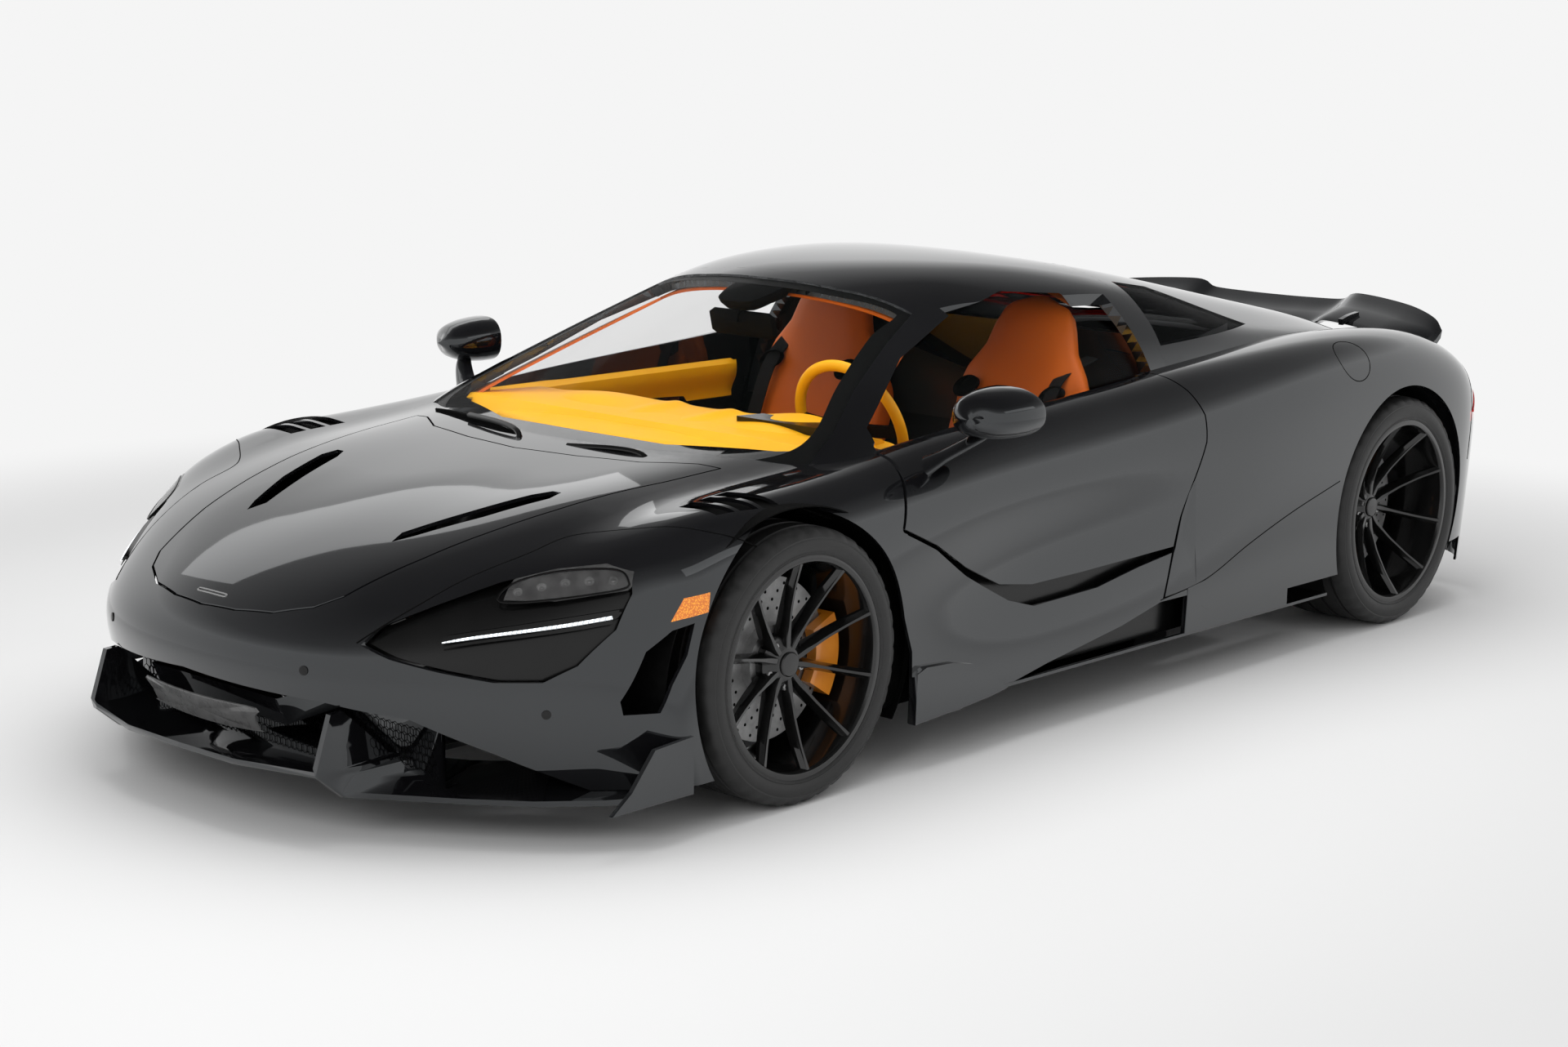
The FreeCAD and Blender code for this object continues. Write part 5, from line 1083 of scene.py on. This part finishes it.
# Door cards
CARD_FOOT_Z, CARD_TALL, CARD_BACK_X, CARD_LONG, CARD_Y, CARD_THICK = 0.24, 0.505, -0.36, 1.02, 0.742, 0.022
for side, sign in SIDES:
    points = []
    columns, rows = 41, 31
    for level in (0, 1):
        for j in range(rows):
            s = j / (rows - 1)
            z = CARD_FOOT_Z + CARD_TALL * s
            for i in range(columns):
                r = i / (columns - 1)
                x = CARD_BACK_X + CARD_LONG * r
                y = CARD_Y + 0.03 * (1 - (2 * r - 1) ** 2) * (1 - s)
                y -= 0.012 * float(swell(np.array(r), .7, 1.0))
                y -= 0.030 * math.exp(-((s - .62) / .10) ** 2)
                y -= 0.016 * math.exp(-((s - .93) / .10) ** 2)
                edge = min(s, 1 - s, r, 1 - r)
                y += 0.012 * (1 - min(edge / .04, 1)) ** 2
                points.append((x, (y + level * CARD_THICK) * sign, z))
    card = new_piece(f"door_card_{side}", points, sheet_faces(columns, rows))
    set_piece(card, yellow_leather, f"door_{side}", "dash_leather")
    heights = face_middles(card)[:, 2]
    card.data.materials.append(orange_leather)
    card.data.materials.append(joint_black_and_hole_shade)
    for face, height in zip(card.data.polygons, heights):
        face.material_index = 0 if height > 0.63 or 0.50 < height < 0.575 else (2 if height >= 0.575 else 1)


# Door mirrors. A moulded oval shell on a slanting arm, with a flat glass in a
# thin frame at its back.

MIRROR_Y, MIRROR_HALF_WIDE, MIRROR_HALF_TALL, OVAL_POWER = .968, .099, .064, 0.85
mirror_glass, _ = mottled("mirror_glass", (4.0,), greys(0.6, 0.7), (0.01, 0.01), Metallic=1.0)
for side, sign in SIDES:
    points = []
    ring = 40
    shells = [(.636, .00, .850), (.634, .22, .850), (.627, .45, .850), (.612, .66, .850),
              (.590, .80, .850), (.558, .91, .851), (.520, .97, .852), (.487, .985, .853),
              (.4765, .97, .853), (.4765, .93, .853), (.482, .915, .853), (.484, .0, .853)]
    for x, size, z in shells:
        for corner in range(ring):
            turn = math.tau * corner / ring
            wide = math.copysign(abs(math.cos(turn)) ** OVAL_POWER, math.cos(turn)) * MIRROR_HALF_WIDE
            tall = math.copysign(abs(math.sin(turn)) ** OVAL_POWER, math.sin(turn)) * MIRROR_HALF_TALL
            tall *= 1.0 - 0.12 * math.cos(turn)
            points.append((x - .014 * wide / MIRROR_HALF_WIDE, (MIRROR_Y + wide * size) * sign,
                           z + tall * size))
    shell = new_piece(f"mirror_shell_{side}", points, joined_rows(len(shells), ring))
    set_piece(shell, gloss_black, f"door_{side}", "gloss_black_paint", f"mirror_{side}")
    glass_at = face_middles(shell)
    in_frame = np.arange(len(glass_at)) >= (len(shells) - 2) * ring
    from_middle = np.hypot((glass_at[:, 1] * sign - MIRROR_Y) / .09, (glass_at[:, 2] - .853) / .057)
    add_zone(shell, mirror_glass, in_frame | (glass_at[:, 0] < .484) & (from_middle < .9))
    arm = rounded_path(both_sides([(.655, .835, .715), (.625, .875, .745), (.585, .93, .785),
                                   (.545, .965, .815)], sign), 24)
    outs = np.tile(np.array([[0.5, 0.0, 0.85]]), (24, 1))
    section = oval_section(.026, .0095)
    sizes = np.interp(np.linspace(0, 1, 24), [0, 0.3, 1], [1.7, 1.1, 0.8])
    set_piece(rail(f"mirror_arm_{side}", arm, outs, section, False, sizes), gloss_black, f"door_{side}",
              "gloss_black_paint")


# Dark liners and the ends of the car. Moulded walls behind the side channels,
# honeycomb meshes, the blank plate, the tail panel, its pipes and its lamp bars.

WALL_GUESS_Y, WALL_THICK, WALL_DEPTH = .93, .002, .050


def wall_sheet(name, xs, zs, depth, sign):
    """A thin moulded wall that keeps its distance behind the outer form of the side."""
    spots = [(x, WALL_GUESS_Y * sign, z) for z in zs for x in xs]
    inner = np.array(spots)
    inner[:, 1] = draped(spots)[0][:, 1] - depth * sign
    outer = inner + np.array([0, WALL_THICK * sign, 0])
    wide, tall = len(xs), len(zs)
    points = np.concatenate([inner, outer])
    return new_piece(name, points, sheet_faces(wide, tall))


for side, sign in SIDES:
    wall = wall_sheet(f"channel_wall_{side}", np.linspace(-.50, .86, 40), np.linspace(.16, .60, 16),
                      WALL_DEPTH, sign)
    set_piece(wall, socket_black, "chassis", "carbon")


def honeycomb(name, middle, wide, tall, cell, finish):
    """A sheet of hexagonal cells, made by a node tree and set at its place."""
    wire, take = node_tree("honeycomb", {"Wide": wide, "Tall": tall, "Cell": cell})
    columns = wire.sum("FLOOR", take["Wide"] / take["Cell"])
    rows = wire.sum("FLOOR", take["Tall"] / (take["Cell"] * 0.866))
    dots = wire.node("GeometryNodePoints", None, {"Count": columns * rows})
    number = wire.node("GeometryNodeInputIndex")
    row = wire.sum("FLOOR", number / columns)
    column = wire.sum("MODULO", number, columns) + wire.sum("MODULO", row, 2.0) * 0.5
    spot = wire.node("ShaderNodeCombineXYZ", None, {
        "X": (column - columns * 0.5) * take["Cell"], "Y": (row - rows * 0.5) * take["Cell"] * 0.866})
    moved = wire.node("GeometryNodeSetPosition", None, {"Geometry": dots, "Position": spot})
    hexagon = wire.node("GeometryNodeMeshCircle", {"fill_type": "NONE"},
                        {"Vertices": 6, "Radius": take["Cell"] * 0.577})
    line = wire.node("GeometryNodeMeshToCurve", None, {"Mesh": hexagon})
    section = wire.node("GeometryNodeCurvePrimitiveCircle", None, {"Resolution": 3, "Radius": 0.0011})
    tube = wire.node("GeometryNodeCurveToMesh", None, {"Curve": line, "Profile Curve": section})
    placed = wire.node("GeometryNodeInstanceOnPoints", None, {"Points": moved, "Instance": tube,
                                                              "Rotation": (0, 0, math.pi / 6)})
    holder = grown_piece(name, wire, placed, finish)
    x, y, z = middle
    holder.data.transform(Matrix(((0, 0, 1, x), (1, 0, 0, y), (0, 1, 0, z), (0, 0, 0, 1))))
    return holder


set_piece(honeycomb("intake_mesh", (1.956, 0, .205), 1.08, .09, .020, joint_black_and_hole_shade), None, "chassis", "carbon")
plate_grey, _ = mottled("plate_grey", (35.0,), greys(0.07, 0.10), (0.12, 0.22),
                        Coat_Weight=0.3, Coat_Roughness=0.1)
PLATE_FOOT_X, PLATE_FOOT_Z, PLATE_LEAN = 2.1245, .2365, .48
plate_line = [(PLATE_FOOT_X + (z - PLATE_FOOT_Z) * PLATE_LEAN, y, z) for y, z in
              ((-.185, .241), (-.17, .2365), (.17, .2365), (.185, .241), (.187, .268), (.18, .296),
               (-.18, .296), (-.187, .268))]
plate_steps = [(0.001, .001), (0.5, .001), (0.96, .001), (0.99, 0), (1.0, -.003)]
set_piece(patch("blank_plate", plate_line, plate_steps), plate_grey, "chassis", "carbon")
tail_panel_line = [(-2.2, y, z) for y, z in ((-.54, .655), (-.30, .695), (0, .705), (.30, .695), (.54, .655),
                                            (.56, .56), (.46, .43), (.0, .40), (-.46, .43), (-.56, .56))]
set_piece(patch("tail_panel", tail_panel_line, [(0.001, .0012), (0.5, .0012), (0.985, .0012), (1.0, -.002)]),
          joint_black_and_hole_shade, "chassis", "carbon")
set_piece(honeycomb("tail_mesh", (-2.191, 0, .545), .92, .19, .024, socket_black), None, "chassis", "carbon")
pipe_metal, place = new_finish("pipe_metal", Metallic=1.0)
heat = place.part("X") * 10 + place.noise(12.0) * 0.6
feed(pipe_metal, Base_Color=heat.ramp((0.0, (0.36, 0.30, 0.26)), (1.0, (0.42, 0.44, 0.5))),
     Roughness=place.noise(60.0) * 0.15 + 0.18)
PIPE_Z = .60
for number, y in enumerate((-.165, -.055, .055, .165)):
    points = []
    ring = 40
    steps = ((-2.150, .043), (-2.214, .043), (-2.217, .0415), (-2.214, .040), (-2.150, .039), (-2.150, .0005))
    for x, radius in steps:
        for corner in range(ring):
            turn = math.tau * corner / ring
            points.append((x, y + radius * math.cos(turn), PIPE_Z + radius * math.sin(turn)))
    faces = joined_rows(len(steps), ring) + [tuple(range(ring))]
    set_piece(new_piece(f"tail_pipe_{number}", points, faces), pipe_metal, "chassis", "alloy")
for side, sign in SIDES:
    bar = [(-1.97, .925, .60), (-2.06, .84, .655), (-2.12, .73, .685), (-2.17, .58, .70)]
    path, outs = draped(rounded_path(both_sides(bar, sign), 40))
    set_piece(rail(f"tail_bar_{side}", path, outs, flat_bar(.012, .003, .003)), red_lens, "chassis",
              "lamp_lens")


# Steering wheel. A padded yellow rim on a dark boss with three spokes, on the
# slanting column.

RING_RADIUS = .172
wheel_middle = np.array([.379, .370, .739])
column_way = np.array([.561 - .379, 0, .672 - .739])
column_way /= np.linalg.norm(column_way)
wheel_up = np.cross(column_way, [0, 1, 0])
wheel_across = np.array([0, 1.0, 0])
turns = np.linspace(0, math.tau, 96, endpoint=False)
ring = np.cos(turns)[:, None] * wheel_across + np.sin(turns)[:, None] * wheel_up
circle = wheel_middle + RING_RADIUS * ring
section = oval_section(.0155, .014)
wheel_rim = rail("wheel_rim", circle, np.tile(column_way, (96, 1)), section, True)
set_piece(wheel_rim, yellow_leather, "steering", "dash_leather", "steering_wheel")
for number, turn in enumerate((0, math.pi, -math.pi / 2)):
    way = math.cos(turn) * wheel_across + math.sin(turn) * wheel_up
    line = [wheel_middle + way * reach + column_way * drop
            for reach, drop in ((.03, .018), (.10, .012), (.165, .0))]
    set_piece(rail(f"wheel_spoke_{number}", rounded_path(line, 16), np.tile(-column_way, (16, 1)),
                   flat_bar(.034, .008, .004)), socket_black, "steering", "dash_leather")
points = []
for radius, drop in ((.0005, -.004), (.03, -.003), (.052, .004), (.056, .016), (.05, .05), (.024, .06),
                     (.024, .15), (.0005, .15)):
    points += [wheel_middle + column_way * drop + radius * spot for spot in ring[::2]]
set_piece(new_piece("wheel_boss", points, joined_rows(8, 48)), socket_black, "steering", "dash_leather")

# The windscreen frame and hoop of the tub are painted where they show outside
tub_skin = follow_form(merged_copy("tub"), (canopy_form, body_form))
set_piece(tub_skin, carbon, "chassis", "carbon", "tub")
middles = face_middles(tub_skin)
under = np.linalg.norm(middles - draped(middles, (canopy_form, body_form))[0], axis=1)
shown = (middles[:, 2] > .66) & (under < .012)
add_zone(tub_skin, gloss_black, shown)


# Wheel arch liners. Thin moulded black sheets over each wheel, with an inner
# wall, fixed inside the wings and haunches.

LINER_TURNS = np.linspace(math.radians(-32), math.radians(212), 61)
LINER_MIDDLE_Y, LINER_OUTER_Y, LINER_SHEET = .80, .905, .004
for end, centre_x, centre_z, reach, rise, inner_y in (("front", 1.185, .327, .418, .368, .50),
                                                      ("rear", -1.485, .3455, .389, .386, .568)):
    for side, sign in SIDES:
        points = []
        back_y = inner_y - LINER_SHEET
        rings = ((inner_y, 0.0), (inner_y, 1.0), (LINER_MIDDLE_Y, 1.0), (LINER_OUTER_Y, 1.0),
                 (LINER_OUTER_Y, 1.008), (back_y, 1.008), (back_y, 0.0))
        for y, size in rings:
            for turn in LINER_TURNS:
                points.append((centre_x + reach * size * math.cos(turn), y * sign,
                               centre_z + rise * size * math.sin(turn)))
        count = len(LINER_TURNS)
        faces = joined_rows(len(rings), count, 0, False)
        for n in (0, count - 1):
            faces.append(tuple(ring * count + n for ring in range(1, 6)))
        set_piece(new_piece(f"arch_liner_{end}_{side}", points, faces), joint_black_and_hole_shade, "chassis", "carbon")


# Rear wing. One moulded blade that rises to the middle from drooping tips and
# carries a small lip, on two slim arms.

edge_line = [(-2.05, .745, .828), (-2.10, .69, .858), (-2.165, .58, .880), (-2.215, .45, .892),
             (-2.25, .33, .897), (-2.261, .285, .890), (-2.265, .25, .872), (-2.266, .12, .867),
             (-2.266, 0, .866)]
edge_path = rounded_path(edge_line + [(x, -y, z) for x, y, z in edge_line[-2::-1]], 128)
blade = [(0, 0), (.002, -.008), (.016, -.036), (.075, -.062), (.195, -.080), (.212, -.074), (.195, -.062),
         (.085, -.038), (.030, -.014)]
points = []
for spot in edge_path:
    chord = 1.0 - 0.58 * float(swell(np.array(abs(spot[1])), .55, .745))
    for ahead, lift in blade:
        points.append((spot[0] + ahead * chord, spot[1], spot[2] + lift * (0.45 + 0.55 * chord)))
width = len(blade)
faces = joined_rows(len(edge_path), width) + two_ends(len(edge_path), width)
set_piece(new_piece("wing_blade", points, faces), gloss_black, "rear_wing", "gloss_black_paint", "rear_wing")
for side, sign in SIDES:
    line = both_sides([(-1.984, .415, .832), (-2.03, .415, .842), (-2.085, .415, .848)], sign)
    section = [(.008, -.012), (.008, .008), (-.008, .008), (-.008, -.012)]
    arm = rail(f"wing_arm_{side}", rounded_path(line, 12), np.tile([[0, 0, 1.0]], (12, 1)), section)
    set_piece(arm, gloss_black, "rear_wing", "gloss_black_paint")


# Lower quarter panels. Moulded pieces that close the flank between the door's
# rear edge and the haunch, fixed to the haunch.

for side, sign in SIDES:
    outline = [(-.4025, .580), (-.374, .540), (-.343, .482), (-.3225, .432), (-.308, .398), (-.300, .386),
               (-.252, .272), (-.32, .276), (-.397, .286), (-.397, .40)]
    line = both_sides([(x, .945, z) for x, z in outline], sign)
    set_piece(patch(f"quarter_panel_{side}", line, [(0.001, 0), (0.35, 0), (0.7, 0), (0.995, 0), (1.0, -.002),
                                                    (1.0, -.010), (0.7, -.010), (0.001, -.010)],
                    (body_form,), 60, False), gloss_black, "chassis", "gloss_black_paint")


# Studio. A pale floor that keeps the car's shadow, a white surround near the
# floor, a dark ceiling above and long soft lamps under it.

PAPER = 0.913
FADE_FROM, FADE_TO = 2.9, 4.6
world = bpy.data.worlds.new("studio")
bpy.context.scene.world = world
world.use_nodes = True
air = Wire(world.node_tree)
for made in list(world.node_tree.nodes):
    world.node_tree.nodes.remove(made)
path = world.node_tree.nodes.new("ShaderNodeLightPath")
seen = air.sum("MAXIMUM", Wire(air.tree, path.outputs["Is Camera Ray"]),
               air.sum("MAXIMUM", Wire(air.tree, path.outputs["Is Glossy Ray"]),
                       Wire(air.tree, path.outputs["Is Transmission Ray"])))
plain = air.node("ShaderNodeBackground", None, {"Color": (1, 1, 1, 1), "Strength": 0.75})
white = air.node("ShaderNodeBackground", None, {"Color": (PAPER, PAPER, PAPER, 1), "Strength": 1.0})
mixed = air.node("ShaderNodeMixShader", None, {0: seen, 1: plain, 2: white})
air.node("ShaderNodeOutputWorld", None, {"Surface": mixed})


def flat_sheet(name, corners, finish):
    mesh = bpy.data.meshes.new(name)
    mesh.from_pydata(corners, [], [tuple(range(len(corners)))])
    mesh.materials.append(finish)
    sheet = bpy.data.objects.new(name, mesh)
    bpy.context.scene.collection.objects.link(sheet)
    return sheet


floor_finish, place = new_finish("floor_paper", Roughness=0.9, Specular_IOR_Level=0.1)
feed(floor_finish, Base_Color=place.noise(0.5).ramp((0.3, grey(0.66)), (0.7, grey(0.67))))
tree = floor_finish.node_tree
radius = (place.part("X") ** 2.0 + place.part("Y") ** 2.0) ** 0.5
fade = radius.node("ShaderNodeMapRange", {"interpolation_type": "SMOOTHSTEP"},
                   {"Value": radius, "From Min": FADE_FROM, "From Max": FADE_TO})
glow = place.node("ShaderNodeEmission", None, {"Color": (PAPER, PAPER, PAPER, 1), "Strength": 1.0})
paper = Wire(tree, tree.nodes["Principled BSDF"].outputs[0])
both = place.node("ShaderNodeMixShader", None, {0: fade, 1: paper, 2: glow})
tree.links.new(both.socket, tree.nodes["Material Output"].inputs["Surface"])
FLOOR_REACH = 60
flat_sheet("floor", [(-FLOOR_REACH, -FLOOR_REACH, 0), (FLOOR_REACH, -FLOOR_REACH, 0),
                     (FLOOR_REACH, FLOOR_REACH, 0), (-FLOOR_REACH, FLOOR_REACH, 0)], floor_finish)

CEILING_Z = 3.4
CEILING_ALONG, CEILING_ASIDE = 8.0, 6.5
ceiling_finish, place = new_finish("ceiling_cloth", Roughness=1.0, Specular_IOR_Level=0.0,
                                   Emission_Strength=1.0)
rim_share = ((place.part("X") / CEILING_ALONG) ** 2.0 + (place.part("Y") / CEILING_ASIDE) ** 2.0) ** 0.5
feed(ceiling_finish,
     Base_Color=place.noise(0.6).ramp((0.3, grey(0.0)), (0.7, grey(0.001))),
     Emission_Color=rim_share.ramp((0.0, grey(0.03)), (0.34, grey(0.07)), (0.62, grey(0.3)),
                                   (0.95, grey(PAPER))))
turns = [math.tau * step / 48 for step in range(48)]
ceiling = flat_sheet("ceiling", [(CEILING_ALONG * math.cos(turn), -CEILING_ASIDE * math.sin(turn), CEILING_Z)
                                 for turn in turns], ceiling_finish)
ceiling.visible_camera = False
ceiling.visible_diffuse = False
ceiling.visible_shadow = False
ceiling.visible_transmission = False


def soft_lamp(name, at, aim, size, power):
    light = bpy.data.lights.new(name, "AREA")
    light.shape = "RECTANGLE"
    light.size, light.size_y = size
    light.energy = power
    lamp = bpy.data.objects.new(name, light)
    lamp.location = at
    lamp.rotation_euler = (Vector(aim) - Vector(at)).to_track_quat("-Z", "Y").to_euler()
    bpy.context.scene.collection.objects.link(lamp)
    return lamp


over = soft_lamp("lamp_over", (0, 0, 3.3), (0, 0, 0), (5.0, 3.0), 120)
over.visible_glossy = False
for side, sign in SIDES:
    soft_lamp(f"lamp_{side}", (-.4, 3.4 * sign, 2.9), (0, 0, 0.6), (3.6, 0.7), 6)
front_lamp = soft_lamp("lamp_front", (5.2, 2.0, 2.6), (0, 0, 0.6), (2.4, 1.6), 70)
front_lamp.visible_glossy = False

LENS_MM, SENSOR_MM = 62.2, 36
CAMERA_AT = (5.699, 4.954, 1.841)
camera_lens = bpy.data.cameras.new("camera")
camera_lens.sensor_width = SENSOR_MM
camera_lens.lens = LENS_MM
camera = bpy.data.objects.new("camera", camera_lens)
right, up, ahead = (-0.67321, 0.73930, 0.01463), (-0.13173, -0.13938, 0.98144), (-0.72762, -0.65879, -0.19122)
camera.matrix_world = Matrix([(right[k], up[k], -ahead[k], CAMERA_AT[k]) for k in range(3)] + [(0, 0, 0, 1)])
bpy.context.scene.collection.objects.link(camera)
bpy.context.scene.camera = camera
bpy.context.scene.view_settings.view_transform = "Standard"
